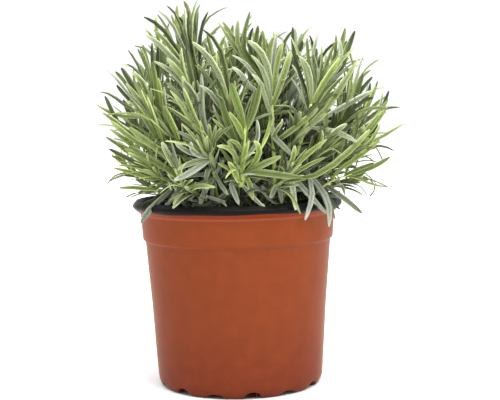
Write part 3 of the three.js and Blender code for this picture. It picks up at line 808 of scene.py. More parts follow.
# %% The bright shoot in front: width in mm, youth, tone, and the spots along its leaves
BRIGHT_STEM = [(243, 192, 60), (242, 174, 64), (244, 150, 66), (245, 126, 66)]
BRIGHT_LEAVES = {
    "broad, leans left": (4.4, 0.75, 0.2, [(238, 150, 66), (229, 127, 68), (222, 104, 69), (219, 88, 68)]),
    "broad, behind it": (4.2, 0.7, 0.12, [(238, 146, 64), (230, 122, 65), (224, 100, 65), (217, 79, 64)]),
    "brightest, at the tip": (4.8, 0.9, 0.4, [(245, 130, 67), (240, 110, 69), (234, 95, 70), (231, 83, 70)]),
    "behind the brightest": (3.8, 0.8, 0.2, [(243, 128, 65), (240, 112, 66), (236, 97, 65), (233, 86, 63)]),
    "short, before the tip": (
        3.9, 0.7, 0.6, [(244, 141, 68), (240, 128, 72), (234, 119, 74), (229, 112, 74)]
    ),
    "thin, far left": (2.7, 0.4, 0.6, [(235, 142, 65), (223, 128, 68), (212, 118, 70)]),
    "grey, leans right": (4.1, 0.45, 0.45, [(247, 129, 63), (252, 116, 62), (256, 104, 62), (260, 85, 64)]),
    "thin, leans right": (2.5, 0.5, 0.4, [(246, 128, 62), (250, 112, 60), (256, 91, 60)]),
    "lime, half way up": (3.8, 0.85, 0.9, [(241, 175, 67), (243, 159, 71), (246, 148, 73), (249, 140, 74)]),
    "lime, curled": (
        3.6, 0.8, 0.9, [(246, 172, 67), (255, 163, 71), (261, 152, 74), (260, 143, 76), (254, 141, 77)]
    ),
    "grey, arches left": (3.3, 0.45, 0.7, [(240, 168, 67), (236, 154, 71), (227, 145, 74), (217, 146, 76)]),
    "small, arches left": (2.5, 0.5, 0.6, [(243, 153, 68), (237, 142, 71), (229, 140, 73)]),
    "pale, low left": (3.8, 0.7, 0.9, [(240, 184, 66), (236, 175, 70), (234, 168, 72), (228, 162, 73)]),
    "green, to the right": (4.7, 0.4, 0.55, [(243, 175, 67), (256, 167, 72), (271, 160, 75), (281, 156, 76)]),
    "long, flat to the right": (
        4.4, 0.4, 0.4, [(244, 172, 68), (256, 171, 74), (273, 174, 79), (299, 177, 82)]
    ),
    "whitish, small": (2.4, 0.1, 1.0, [(245, 173, 68), (252, 173, 72), (262, 174, 75)]),
}
print(len(BRIGHT_LEAVES), "leaves on the bright shoot")

# %% The old leaves that hang over the lip, from the left to the right
HANGING_LEAVES = {
    "over the lip, far left": (
        3.9, 0.0, 0.5, [(176, 184, 38), (168, 191, 38), (158, 204, 40), (146, 213, 41), (141, 223, 39)]
    ),
    "dark, beside it": (4.0, 0.3, 0.1, [(167, 187, 28), (158, 197, 28), (149, 206, 30), (142, 213, 31)]),
    "thin, to the lip": (2.8, 0.1, 0.6, [(180, 184, 42), (176, 193, 44), (165, 208, 46)]),
    "light, arching": (3.5, 0.2, 1.0, [(200, 184, 50), (188, 187, 54), (178, 193, 56), (173, 204, 55)]),
    "short, hanging": (2.2, 0.1, 0.6, [(196, 186, 48), (192, 196, 49)]),
    "grey, hanging": (3.4, 0.1, 0.8, [(206, 187, 50), (202, 198, 54), (199, 208, 55)]),
    "dull, on the soil": (2.7, 0.0, 0.1, [(182, 202, 48), (187, 208, 52), (193, 212, 55)]),
    "soiled, broad": (4.6, 0.0, 0.0, [(220, 200, 50), (208, 207, 54), (192, 212, 58)]),
    "dull, behind": (3.2, 0.0, 0.3, [(233, 190, 51), (224, 196, 53), (216, 201, 54)]),
    "short, dull": (2.6, 0.0, 0.4, [(212, 188, 49), (212, 194, 50), (213, 200, 51)]),
    "pale tip": (2.5, 0.1, 0.9, [(220, 184, 55), (224, 189, 57), (228, 195, 58)]),
    "grey, from the bright shoot": (3.6, 0.0, 0.9, [(229, 181, 57), (234, 192, 60), (239, 205, 60)]),
    "whitish curl": (2.2, 0.0, 1.0, [(219, 200, 56), (226, 203, 60), (228, 210, 60)]),
    "lime, before the bright shoot": (
        3.4, 0.9, 0.9, [(273, 108, 42), (271, 126, 56), (266, 136, 62), (261, 149, 66)]
    ),
    "left of the lip": (2.9, 0.2, 0.8, [(163, 178, 44), (158, 186, 46), (154, 194, 47)]),
    "small, in the shade": (2.4, 0.2, 0.9, [(173, 182, 50), (176, 186, 52), (176, 191, 52)]),
    "bright curl": (2.6, 0.6, 1.0, [(201, 184, 60), (204, 186, 61), (209, 189, 62)]),
    "under the bright shoot": (3.3, 0.6, 0.8, [(247, 176, 62), (251, 187, 64), (253, 200, 62)]),
    "thin, crossing": (2.6, 0.1, 0.8, [(244, 187, 58), (254, 198, 60), (265, 211, 62)]),
    "grey, right of it": (3.0, 0.1, 0.7, [(278, 181, 54), (275, 189, 56), (270, 198, 57)]),
    "dull, crossing": (2.1, 0.0, 0.3, [(254, 183, 54), (265, 194, 56), (279, 208, 58)]),
    "dull, hanging": (2.6, 0.0, 0.4, [(277, 184, 54), (281, 193, 56), (282, 207, 56)]),
    "speckled": (4.3, 0.1, 0.95, [(290, 172, 56), (293, 186, 59), (295, 197, 60), (296, 210, 59)]),
    "soiled, to the lip": (4.4, 0.0, 0.5, [(297, 181, 48), (305, 190, 49), (315, 200, 50), (327, 214, 48)]),
    "over the lip, in front": (
        3.5, 0.0, 0.8, [(311, 184, 48), (314, 193, 50), (311, 204, 52), (305, 220, 55)]
    ),
    "over the lip, bluish": (4.8, 0.0, 0.7, [(322, 188, 40), (328, 198, 42), (331, 210, 43), (329, 227, 43)]),
    "beside the bluish one": (1.9, 0.0, 0.3, [(330, 200, 37), (334, 210, 38), (335, 220, 37)]),
    "long, off the right": (3.6, 0.08, 0.4, [(318, 180, 34), (330, 188, 36), (345, 198, 37), (362, 213, 36)]),
    "dull, over the right": (2.7, 0.1, 0.3, [(324, 198, 28), (332, 202, 30), (340, 209, 31)]),
    "whitish arc": (2.3, 0.2, 0.9, [(337, 182, 30), (343, 185, 31), (345, 195, 32)]),
}
print(len(HANGING_LEAVES), "leaves hang over the lip or lie behind it")


# %% How far in front a leaf of the outer shell lies
SHELL_MIDDLE, SHELL_REACH = np.array([4.0, 128.0]), np.array([92.0, 112.0])  # across and up, in mm
SHELL_DEPTH = 84.0  # from the axis to the front of the shell
KEPT_CHANGE = 0.4  # the share that is kept of the change in depth along a leaf
LEAF_SHELL, STEM_SHELL = (0.72, 0.95), (0.5, 0.76)  # shares of the depth at the root and the tip
ROLLED_IN = 0.92  # the margins roll under, so a leaf is narrower than it looks in a soft picture


def on_shell(pixels, root_share, tip_share):
    """Spots for a leaf that is known by its pixels only. The bush is an egg, so its shell lies
    depth * sqrt(1 - across^2 - up^2) in front of the axis, and a leaf runs from one share of that
    at its root to another at its tip. A leaf at the outline would bend far back by that rule, so
    only a part of the change along the leaf is kept."""
    pixels = np.array(pixels, float)
    share = np.linspace(root_share, tip_share, len(pixels))
    depth = np.zeros(len(pixels))
    for _ in range(3):  # the place depends on the depth, and the depth on the place
        place = from_picture(np.column_stack([pixels, depth]))
        off = (place[:, [0, 2]] - SHELL_MIDDLE) / SHELL_REACH
        depth = SHELL_DEPTH * share * np.sqrt(np.clip(1 - (off**2).sum(1), 0, 1))
    return np.column_stack([pixels, depth.mean() + (depth - depth.mean()) * KEPT_CHANGE])


mid_leaf = on_shell([(255, 130), (255, 125)], *LEAF_SHELL)
print("in the middle of the bush the shell lies", mid_leaf[1, 2].round(1), "mm in front")

# %% Leaves of the outer shell, upper left: width, youth, tone, and pixels from the root out
TOP_LEFT_LEAVES = {
    "claw to the left": (3.0, 0.3, 0.05, [(174, 46), (165, 30), (156, 21), (150, 18), (144, 17)]),
    "claw above it": (3.1, 0.3, 0.15, [(184, 40), (181, 26), (179, 18), (175, 11), (167, 6)]),
    "pale, between them": (2.6, 0.1, 0.9, [(178, 36), (172, 21), (165, 14), (158, 10)]),
    "highest": (3.6, 0.4, 0.45, [(189, 36), (190, 20), (193, 9), (197, 0)]),
    "claw to the right": (3.0, 0.2, 0.05, [(199, 42), (201, 24), (203, 16), (208, 12)]),
    "pale, by the highest": (3.4, 0.2, 0.95, [(183, 32), (184, 17), (185, 8)]),
    "thin and dark": (2.0, 0.2, 0.0, [(186, 26), (187, 18), (189, 11)]),
    "green, under the claw": (3.4, 0.4, 0.5, [(178, 58), (168, 43), (162, 36), (154, 30)]),
    "broad, under that": (4.4, 0.2, 0.9, [(178, 64), (168, 53), (160, 44), (153, 37), (145, 35)]),
    "thin, bent left": (2.4, 0.2, 0.2, [(143, 76), (138, 64), (133, 56), (128, 50)]),
    "green, beside it": (2.8, 0.4, 0.5, [(149, 70), (147, 63), (144, 55), (140, 48)]),
    "dark, upright": (3.1, 0.3, 0.05, [(153, 70), (151, 52), (152, 43)]),
    "darkest, upright": (4.0, 0.3, 0.0, [(158, 72), (157, 55), (158, 47)]),
    "dark, far left": (4.1, 0.4, 0.05, [(135, 92), (131, 83), (126, 75), (121, 68)]),
    "thin, arching": (2.3, 0.1, 0.1, [(143, 80), (138, 70), (133, 66), (127, 64)]),
    "thin, further left": (2.2, 0.1, 0.7, [(125, 92), (120, 82), (115, 76), (108, 71)]),
    "furthest left": (2.6, 0.2, 0.15, [(124, 106), (118, 100), (113, 95), (107, 91), (100, 92)]),
    "dark, below it": (3.2, 0.4, 0.1, [(114, 118), (111, 109), (108, 102), (105, 96)]),
    "light, below that": (2.8, 0.3, 0.8, [(114, 116), (105, 110), (97, 105)]),
    "light, at the left": (3.9, 0.3, 0.9, [(147, 94), (145, 86), (140, 77), (132, 72)]),
    "light, lower left": (3.6, 0.3, 0.8, [(146, 108), (138, 98), (132, 90), (126, 83)]),
    "over the middle left": (3.6, 0.2, 0.9, [(220, 74), (217, 67), (210, 57), (200, 47), (192, 42)]),
    "dark, right of it": (3.5, 0.3, 0.2, [(224, 60), (220, 43), (212, 34), (203, 30)]),
    "light, in the dip": (3.5, 0.3, 0.9, [(232, 46), (228, 35), (223, 28), (218, 22)]),
    "green, in the dip": (3.2, 0.4, 0.5, [(235, 44), (232, 33), (228, 27), (223, 22)]),
    "upright, in the dip": (3.5, 0.3, 0.6, [(237, 50), (237, 30), (238, 21)]),
    "high, in the middle": (3.6, 0.4, 0.4, [(241, 52), (243, 38), (246, 25), (250, 12)]),
    "pale arch": (3.4, 0.1, 0.95, [(256, 78), (250, 67), (240, 57), (232, 55)]),
    "pale arch below": (3.2, 0.1, 0.9, [(250, 90), (245, 77), (240, 71), (232, 67)]),
    "broad, light": (4.4, 0.3, 0.9, [(190, 92), (182, 70), (180, 58), (181, 48)]),
    "dark, right of that": (3.6, 0.3, 0.2, [(194, 88), (191, 73), (187, 60), (186, 48)]),
    "light, leaning left": (3.9, 0.3, 0.7, [(190, 88), (182, 75), (175, 67), (167, 58)]),
    "grey, long arch": (3.7, 0.2, 0.7, [(192, 98), (183, 83), (173, 72), (162, 64), (154, 61)]),
    "bright, upright": (4.6, 0.85, 0.35, [(158, 112), (157, 97), (155, 80), (152, 62)]),
    "bright, beside it": (3.6, 0.9, 0.6, [(162, 110), (161, 96), (159, 85), (158, 78)]),
    "spear": (5.0, 0.1, 0.6, [(200, 114), (201, 98), (202, 86), (201, 74)]),
    "grey, arching left": (4.2, 0.2, 0.5, [(199, 112), (197, 97), (190, 87), (182, 80)]),
    "pale, before the dark": (3.5, 0.1, 0.9, [(220, 108), (213, 95), (207, 88), (199, 85)]),
}
print(len(TOP_LEFT_LEAVES), "leaves at the upper left")

# %% Leaves of the outer shell, upper right
TOP_RIGHT_LEAVES = {
    "dark point": (3.2, 0.3, 0.05, [(294, 56), (292, 38), (293, 27)]),
    "grey point": (3.4, 0.1, 0.8, [(312, 66), (313, 54), (315, 44), (318, 34)]),
    "dark blade": (4.1, 0.45, 0.1, [(341, 76), (345, 58), (350, 43), (355, 31)]),
    "pale, beside it": (3.5, 0.1, 0.9, [(343, 66), (342, 56), (341, 45), (338, 36)]),
    "green, left of it": (3.0, 0.5, 0.4, [(328, 60), (332, 50), (337, 40)]),
    "short and dark": (3.0, 0.3, 0.1, [(247, 46), (249, 37), (253, 28)]),
    "pale point": (3.6, 0.1, 0.95, [(273, 64), (275, 44), (277, 31)]),
    "long, from the fork": (3.7, 0.4, 0.7, [(273, 92), (276, 70), (279, 54), (283, 42)]),
    "broad, right of the fork": (4.6, 0.3, 0.9, [(274, 102), (279, 88), (285, 72), (289, 60), (291, 51)]),
    "arch, left of the fork": (4.2, 0.2, 0.95, [(272, 92), (270, 73), (265, 57), (257, 45), (248, 41)]),
    "arch below": (4.0, 0.2, 0.85, [(271, 98), (268, 84), (264, 70), (258, 60), (251, 55)]),
    "lowest arch": (3.6, 0.2, 0.9, [(270, 110), (265, 98), (263, 86), (259, 76), (252, 74)]),
    "broad, to the right": (4.2, 0.3, 0.8, [(308, 78), (304, 62), (297, 49), (291, 37)]),
    "pale, hooked": (3.8, 0.2, 0.95, [(312, 96), (311, 80), (308, 64), (299, 56)]),
    "grey, in the gap": (3.0, 0.1, 0.5, [(305, 104), (302, 94), (297, 84), (291, 78)]),
    "yellow-green": (4.4, 0.7, 0.75, [(311, 108), (318, 92), (330, 74), (340, 58)]),
    "grooved": (3.6, 0.5, 0.3, [(316, 112), (325, 96), (335, 84), (343, 77)]),
    "broad, far right": (4.5, 0.35, 0.8, [(326, 112), (335, 96), (344, 83), (352, 70), (358, 58)]),
    "pale end": (2.6, 0.1, 0.9, [(357, 74), (360, 65), (364, 53)]),
    "vivid": (3.8, 0.75, 0.1, [(355, 102), (358, 90), (360, 82), (363, 74)]),
    "green, right": (3.5, 0.6, 0.3, [(366, 114), (370, 103), (374, 93), (378, 81)]),
    "dark, right": (3.1, 0.4, 0.05, [(379, 118), (383, 107), (387, 98), (389, 91)]),
    "grey, lying": (4.2, 0.1, 0.85, [(332, 114), (345, 106), (357, 99), (366, 94), (374, 91)]),
    "grey point, right": (2.7, 0.1, 0.8, [(366, 100), (367, 90), (368, 81)]),
    "grey, far right": (2.9, 0.1, 0.7, [(378, 114), (381, 104), (383, 92)]),
    "olive": (3.1, 0.6, 0.4, [(309, 66), (308, 50), (307, 38)]),
    "green, top": (3.1, 0.5, 0.4, [(342, 60), (345, 51), (348, 42)]),
    "rightmost": (3.0, 0.3, 0.9, [(362, 146), (372, 142), (384, 136), (393, 130), (403, 124)]),
    "above the rightmost": (3.4, 0.4, 0.7, [(358, 140), (368, 128), (376, 118), (386, 108)]),
}
print(len(TOP_RIGHT_LEAVES), "leaves at the upper right")

# %% Leaves of the outer shell, half way up and lower
MIDDLE_LEAVES = {
    "long, from the left": (4.5, 0.5, 0.7, [(162, 144), (152, 117), (144, 101), (141, 90)]),
    "beside it": (4.3, 0.5, 0.8, [(163, 144), (157, 128), (152, 113), (147, 97)]),
    "felted, upright": (4.0, 0.2, 0.9, [(164, 116), (164, 98), (164, 87)]),
    "lime, leaning": (4.3, 0.75, 0.6, [(179, 142), (175, 130), (168, 117), (164, 106)]),
    "light, to the small fork": (4.1, 0.3, 0.9, [(202, 134), (192, 122), (186, 111), (178, 98), (170, 90)]),
    "light, above it": (3.9, 0.4, 0.8, [(199, 130), (193, 115), (187, 100), (183, 88)]),
    "green, across": (3.7, 0.4, 0.5, [(200, 133), (186, 120), (175, 112), (165, 106)]),
    "grey, across": (3.1, 0.1, 0.4, [(200, 144), (196, 140), (187, 135), (177, 131)]),
    "blunt, felted": (4.2, 0.2, 0.95, [(173, 161), (166, 152), (162, 142)]),
    "grey, behind it": (2.9, 0.1, 0.6, [(176, 160), (172, 147), (170, 137)]),
    "fork, first": (2.7, 0.3, 0.9, [(211, 150), (207, 137), (201, 130)]),
    "fork, second": (2.5, 0.3, 0.8, [(211, 148), (210, 135), (209, 124)]),
    "fork, third": (2.7, 0.3, 0.9, [(211, 148), (214, 135), (216, 125)]),
    "fork, fourth": (2.5, 0.3, 0.8, [(212, 149), (217, 135), (221, 128)]),
    "grey-white, broad": (4.6, 0.0, 1.0, [(211, 161), (203, 163), (196, 168), (185, 176), (174, 180)]),
    "green-grey, above it": (4.1, 0.2, 0.7, [(211, 160), (200, 160), (187, 164), (177, 170)]),
    "whitish curl": (3.4, 0.0, 1.0, [(210, 158), (202, 157), (193, 153), (190, 147), (191, 142)]),
    "pale, left of the curl": (3.0, 0.1, 0.9, [(196, 155), (188, 152), (180, 147), (175, 142)]),
    "grey, by the lime stem": (3.5, 0.1, 0.8, [(258, 144), (258, 130), (257, 120)]),
    "small, by the lime stem": (2.7, 0.3, 0.8, [(272, 138), (278, 128), (283, 121)]),
    "grey, right of the stem": (4.1, 0.1, 0.4, [(272, 136), (280, 143), (288, 149), (293, 157)]),
    "green, far left": (4.0, 0.5, 0.5, [(160, 144), (150, 128), (140, 110), (132, 100)]),
    "long, low left": (4.5, 0.5, 0.5, [(176, 164), (168, 154), (155, 147), (140, 137), (129, 127)]),
    "green, low left": (4.2, 0.5, 0.4, [(172, 170), (155, 163), (140, 153), (130, 146)]),
    "light, off the left": (3.4, 0.5, 0.8, [(150, 152), (138, 143), (125, 134), (111, 121)]),
    "parallel, upper left": (3.4, 0.5, 0.6, [(138, 142), (124, 129), (113, 119), (103, 113)]),
    "green, half way down": (3.6, 0.6, 0.4, [(144, 162), (128, 151), (116, 143), (106, 137)]),
    "green, beside that": (3.4, 0.55, 0.6, [(148, 158), (132, 146), (120, 135), (110, 129)]),
    "dark, below them": (3.3, 0.5, 0.15, [(150, 170), (134, 162), (121, 155), (109, 149)]),
    "lime, low on the left": (3.2, 0.7, 0.6, [(154, 182), (142, 176), (128, 171), (113, 168)]),
    "lime, lowest": (2.9, 0.7, 0.5, [(156, 192), (144, 188), (132, 187), (119, 188)]),
    "pale, on the low left": (3.4, 0.4, 0.9, [(158, 176), (148, 165), (138, 158), (128, 153)]),
    "yellow-green, right": (3.8, 0.7, 0.8, [(291, 170), (302, 158), (312, 150), (322, 143), (327, 139)]),
    "long, light, right": (3.9, 0.5, 0.8, [(285, 135), (296, 127), (308, 118), (318, 108)]),
    "felted, blunt, right": (3.9, 0.2, 0.95, [(318, 146), (330, 136), (340, 128), (347, 124)]),
    "grey, broad, right": (4.2, 0.1, 0.6, [(330, 130), (340, 132), (350, 137), (357, 142)]),
    "long, right": (4.2, 0.45, 0.7, [(316, 178), (328, 170), (342, 158), (358, 144), (370, 130)]),
    "yellow-green, under it": (3.3, 0.7, 0.6, [(334, 172), (348, 164), (364, 153), (380, 140)]),
    "pale arc, far right": (3.9, 0.6, 0.75, [(347, 164), (362, 152), (374, 140), (380, 124)]),
    "broad, at the outline": (4.2, 0.6, 0.45, [(358, 142), (369, 128), (380, 113), (388, 99)]),
    "broad, beside it": (4.0, 0.65, 0.55, [(354, 148), (367, 134), (379, 119), (388, 106)]),
    "green, over them": (3.7, 0.6, 0.5, [(350, 134), (361, 118), (370, 101), (376, 86)]),
    "green, leaning out": (3.4, 0.5, 0.35, [(350, 176), (362, 171), (374, 167), (390, 157)]),
    "thin, leaning out": (2.6, 0.4, 0.3, [(346, 174), (360, 168), (374, 163)]),
    "olive, hanging out": (2.8, 0.5, 0.5, [(346, 174), (357, 177), (370, 184), (387, 187)]),
}
print(len(MIDDLE_LEAVES), "leaves half way up and lower")

# %% The lime-green young stems among them
LIME_STEMS = {  # half their width at the foot, in mm, and pixels
    "fork on the right": (1.25, [(277, 172), (273, 152), (272, 122), (272, 96)]),
    "small fork": (0.9, [(214, 176), (212, 160), (210, 144)]),
    "left": (0.9, [(180, 172), (172, 158), (163, 144)]),
    "right": (1.1, [(288, 176), (298, 150), (308, 124), (311, 104)]),
    "out to the right": (0.65, [(322, 184), (336, 178), (352, 174)]),
}
shell_tables = (TOP_LEFT_LEAVES, TOP_RIGHT_LEAVES, MIDDLE_LEAVES)
shell_leaves = {
    name: (width * ROLLED_IN, youth, tone, on_shell(pixels, *LEAF_SHELL))
    for table in shell_tables for name, (width, youth, tone, pixels) in table.items()
}
print(len(shell_leaves), "leaves of the shell in", len(shell_tables), "tables")


# %% Their lines, and which way they face
def placed_leaves(table, carriers, facing):
    """A bunch from a table of leaves. The blade's face looks towards facing, as far as its line
    lets it: across = facing x way."""
    points = [on_nearest(from_picture(row[3]), carriers) for row in table.values()]
    lines = np.array([smooth_line(line, STEPS) for line in points])
    out = lines * (1, 1, 0) / np.hypot(lines[..., :1], lines[..., 1:2])
    face = unit(out + np.array(facing))
    across = unit(np.cross(face, np.gradient(lines, axis=1)))
    widths, youth, tone = np.array([row[:3] for row in table.values()]).T
    return {"lines": lines, "across": across, "widths": widths, "youth": youth, "own": tone}


bright_stem = on_nearest(from_picture(BRIGHT_STEM), stem_spots)
bright_stem = smooth_line(bright_stem, np.linspace(0, 1, STEM_POINTS))
bright = placed_leaves(BRIGHT_LEAVES, bright_stem[LEAFY_FROM:], facing=(0, 0, 0.5))
hanging = placed_leaves(HANGING_LEAVES, stem_spots, facing=(0, -0.9, 0.5))
lime_spots = [on_shell(pixels, *STEM_SHELL) for _, pixels in LIME_STEMS.values()]
lime_stems = [from_soil(from_picture(spots)) for spots in lime_spots]
carriers = np.concatenate([stem_spots, *(line[LEAFY_FROM:] for line in lime_stems)])
shell = placed_leaves(shell_leaves, carriers, facing=(0, -0.6, 0.5))
print("the longest leaf over the lip ends at", hanging["lines"][0, -1].round(1), "mm")

# %% [markdown]
# ## More leaves than the solids hold
#
# The solids carry only the leaves that their triangles allow. A real shoot has a pair every 6 to
# 8 mm, each turned a right angle from the last, a tuft of upright young leaves at its tip, and a
# short side twig in many of the corners between leaf and stem. These are grown by rule. Each is
# tried in several directions, and the one that keeps furthest from its neighbours is taken, as
# shoots in a real bush turn to the free light.

# %% How a leaf grows
def grown(base, along, outward, length, opening, bend, droop=0.0):
    """Curves of leaves that leave a stem at an opening angle and bend further towards the tip.

    Direction at t = along * cos(a) + outward * sin(a) - up * droop * t * t, with a = opening +
    bend * t * t, and the curve is the running sum of its steps. All arguments are arrays over the
    leaves, or one number for all."""
    t = (STEPS[1:] + STEPS[:-1]) / 2
    a = np.asarray(opening)[..., None] + np.asarray(bend)[..., None] * t**2
    way = along[:, None] * np.cos(a)[..., None] + outward[:, None] * np.sin(a)[..., None]
    way[..., 2] -= np.asarray(droop)[..., None] * t**2
    step = unit(way) * (np.diff(STEPS) * np.asarray(length)[..., None])[..., None]
    return np.concatenate([base[:, None], base[:, None] + np.cumsum(step, axis=1)], axis=1)


def round_about(along, turns):
    """Directions square to along, at the given turns about it."""
    side = unit(np.cross(along, (0.3, 1.0, 0.2)))
    front = np.cross(along, side)
    return np.cos(turns)[:, None] * side + np.sin(turns)[:, None] * front


print("a leaf 30 mm long, opened by 30 degrees, ends at", end=" ")
print(grown(np.zeros((1, 3)), np.eye(3)[2:], np.eye(3)[:1], 30.0, [0.52], [0.3])[0, -1].round(1))

# %% Room between curves
BUSH_MIDDLE, BUSH_REACH = np.array([4.0, 6.0, 128.0]), np.array([88.0, 86.0, 92.0])
OPEN_FROM, OPEN_OVER = 0.88, 0.16  # where the bush starts to thin out, and over how much
OPENNESS = 2.6  # how much more room a leaf at the outside wants
LIP_AND_SOIL_ROOM = 1.4
INSIDE_POT, LIP_MIDDLE, LIP_WITHIN = 61.0, 62.0, 5.5  # radii in mm
REACH_MM = 44.0  # nothing further off than this is compared
FREE_FROM = 3  # near its root a leaf can't keep clear of its neighbours
TAKES_FROM = 2  # and from this step on it takes up room itself


def out_share(points):
    """0 at the middle of the bush and 1 about at its outside: the distance on an egg shape."""
    return np.linalg.norm((points - BUSH_MIDDLE) / BUSH_REACH, axis=-1)


def off_the_pot(lines):
    """True for curves that stay off the soil and off the pot's lip."""
    out, z = np.hypot(lines[..., 0], lines[..., 1]), lines[..., 2]
    in_soil = (out < INSIDE_POT) & (z < soil_height(lines[..., 0], lines[..., 1]) + LIP_AND_SOIL_ROOM)
    in_lip = (np.abs(out - LIP_MIDDLE) < LIP_WITHIN) & (z < POT_HEIGHT + LIP_AND_SOIL_ROOM)
    return ~(in_soil | in_lip).any(-1)


def room_round(lines, taken):
    """For each curve, how near its outer part comes to any point that is taken."""
    near = taken[np.linalg.norm(taken - lines[0, 0], axis=1) < REACH_MM]
    gaps = np.linalg.norm(lines[:, FREE_FROM:, None] - near[None, None], axis=-1)
    return gaps.min((1, 2))


first = [bright, hanging, shell, *(rows[0] for rows in bunches.values())]
taken = np.concatenate([bunch["lines"].reshape(-1, 3) for bunch in first])
print(len(taken), "points are taken by the leaves of the solids and by those placed one by one")

# %% Pairs between the pairs, and tufts at the tips
TURNS = np.radians([0, 22, -22, 44, -44, 66, -66])  # the directions that are tried
BETWEEN_AT = np.array([0.27, 0.4, 0.53, 0.66, 0.74, 0.8, 0.86, 0.91])
TUFT_LEAVES = 8
TUFT_TURN, TUFT_STEP = 2.2, 0.016  # from leaf to leaf: radians, and share of the stem's length
PAIR_LONG, TUFT_LONG = (20, 37), (14, 25)  # mm
PAIR_WIDE, TUFT_WIDE = (2.3, 3.8), (2.2, 3.6)
PAIR_ROOM, TUFT_ROOM = 1.4, 0.7  # the least room in mm, divided by vigour squared
rng = np.random.default_rng(19)


def try_leaf(shoot, at, turn, length, opening, bend, droop, width, least, taken):
    """Grows one leaf in each direction that is tried, keeps the one with the most room, and gives
    the points that it takes. Nothing grows where even that one has less than the least room."""
    place, along = on_stem(shoot, at)
    outward = round_about(along[0], turn + TURNS)
    count = len(TURNS)
    lines = grown(place.repeat(count, 0), along.repeat(count, 0), outward, length, opening, bend, droop)
    room = np.where(off_the_pot(lines), room_round(lines, taken), 0)
    best = int(room.argmax())
    aside = ((lines[best, -1] - BUSH_MIDDLE) / BUSH_REACH)[[0, 2]]
    outside = np.clip((np.hypot(*aside) - OPEN_FROM) / OPEN_OVER, 0, 1)
    if room[best] < least * (1 + OPENNESS * outside):
        return taken, 0
    side = np.cross(along[0], outward[best])
    leaf = {"lines": lines[best : best + 1], "across": side[None, None].repeat(len(STEPS), 1)}
    bunches[shoot["name"]].append({**leaf, "widths": np.array([width]), "at": np.array([at])})
    return np.concatenate([taken, lines[best, TAKES_FROM:]]), 1


def between_leaves(shoot, first_turn, vigour, taken):
    """Pairs of leaves up the stem, each pair a right angle from the last, that arch outwards."""
    found = 0
    for number, at in enumerate(BETWEEN_AT):
        for side in (0, 1):
            turn = first_turn + np.pi * (side + number / 2) + rng.uniform(-0.3, 0.3)
            opening, bend = rng.uniform(0.3, 0.6) - 0.2 * at, rng.uniform(-0.2, 0.95)
            draw = (rng.uniform(*PAIR_LONG) * vigour, opening, bend, rng.uniform(-0.1, 0.3) * (1 - at))
            width, least = rng.uniform(*PAIR_WIDE) * vigour**0.5, PAIR_ROOM / vigour**2
            taken, new = try_leaf(shoot, at, turn, *draw, width, least, taken)
            found += new
    return taken, found


def tuft_leaves(shoot, first_turn, vigour, taken):
    """The young leaves round a tip. The whole tuft leans: the leaves on the side that it leans to
    are longer and arch over, and those on the other side are shorter and straight."""
    found = 0
    for number in range(TUFT_LEAVES):
        turn = first_turn + number * TUFT_TURN
        lean = 0.5 + 0.5 * np.cos(turn - first_turn)
        length = (rng.uniform(*TUFT_LONG) + 6 * lean - 0.8 * number) * vigour
        opening, bend = 0.34 - 0.04 * number + 0.12 * lean, rng.uniform(-0.2, 0.3) + 0.45 * lean
        at = 1 - TUFT_STEP * (TUFT_LEAVES - number)
        width, least = rng.uniform(*TUFT_WIDE) * vigour**0.5, TUFT_ROOM / vigour**2
        taken, new = try_leaf(shoot, at, turn, length, opening, bend, 0.0, width, least, taken)
        found += new
    return taken, found


grown_count = 0
for shoot in shoots:
    first_turn, vigour = rng.uniform(0, 2 * np.pi), vigour_of(shoot, LEAST_GROWN)
    for grow in (between_leaves, tuft_leaves):
        taken, found = grow(shoot, first_turn, vigour, taken)
        grown_count += found
print(grown_count, "single leaves found room")

# %% Side twigs
TWIG_AT = np.array([0.22, 0.37, 0.57, 0.3, 0.47, 0.66, 0.37, 0.57])
TWIG_CHANCE, TWIG_ROOM = 0.85, 1.9
TWIG_LONG, TWIG_LEAF_WIDE = (9, 17), (1.7, 2.4)  # mm
TWIG_OPENING, TWIG_BEND = (0.6, 0.95), -0.4
LOW_SHOOT, LOW_TWIGS = 150.0, 2  # the low outer shoots have few twigs
TWIG_JOINTS = np.array([4, 4, 5, 5, 7, 7])  # the steps of its line that its leaves sit on
TWIG_SPINS = np.array([0, np.pi, np.pi / 2, -np.pi / 2, 0, np.pi])
TWIG_LENGTHS = np.array([15, 15, 12.5, 12.5, 9, 9])
TWIG_OPENINGS = np.array([0.75, 0.75, 0.55, 0.55, 0.25, 0.25])
TWIG_LEAVES = len(TWIG_JOINTS)
twigs = {name: [] for name in shoot_names}


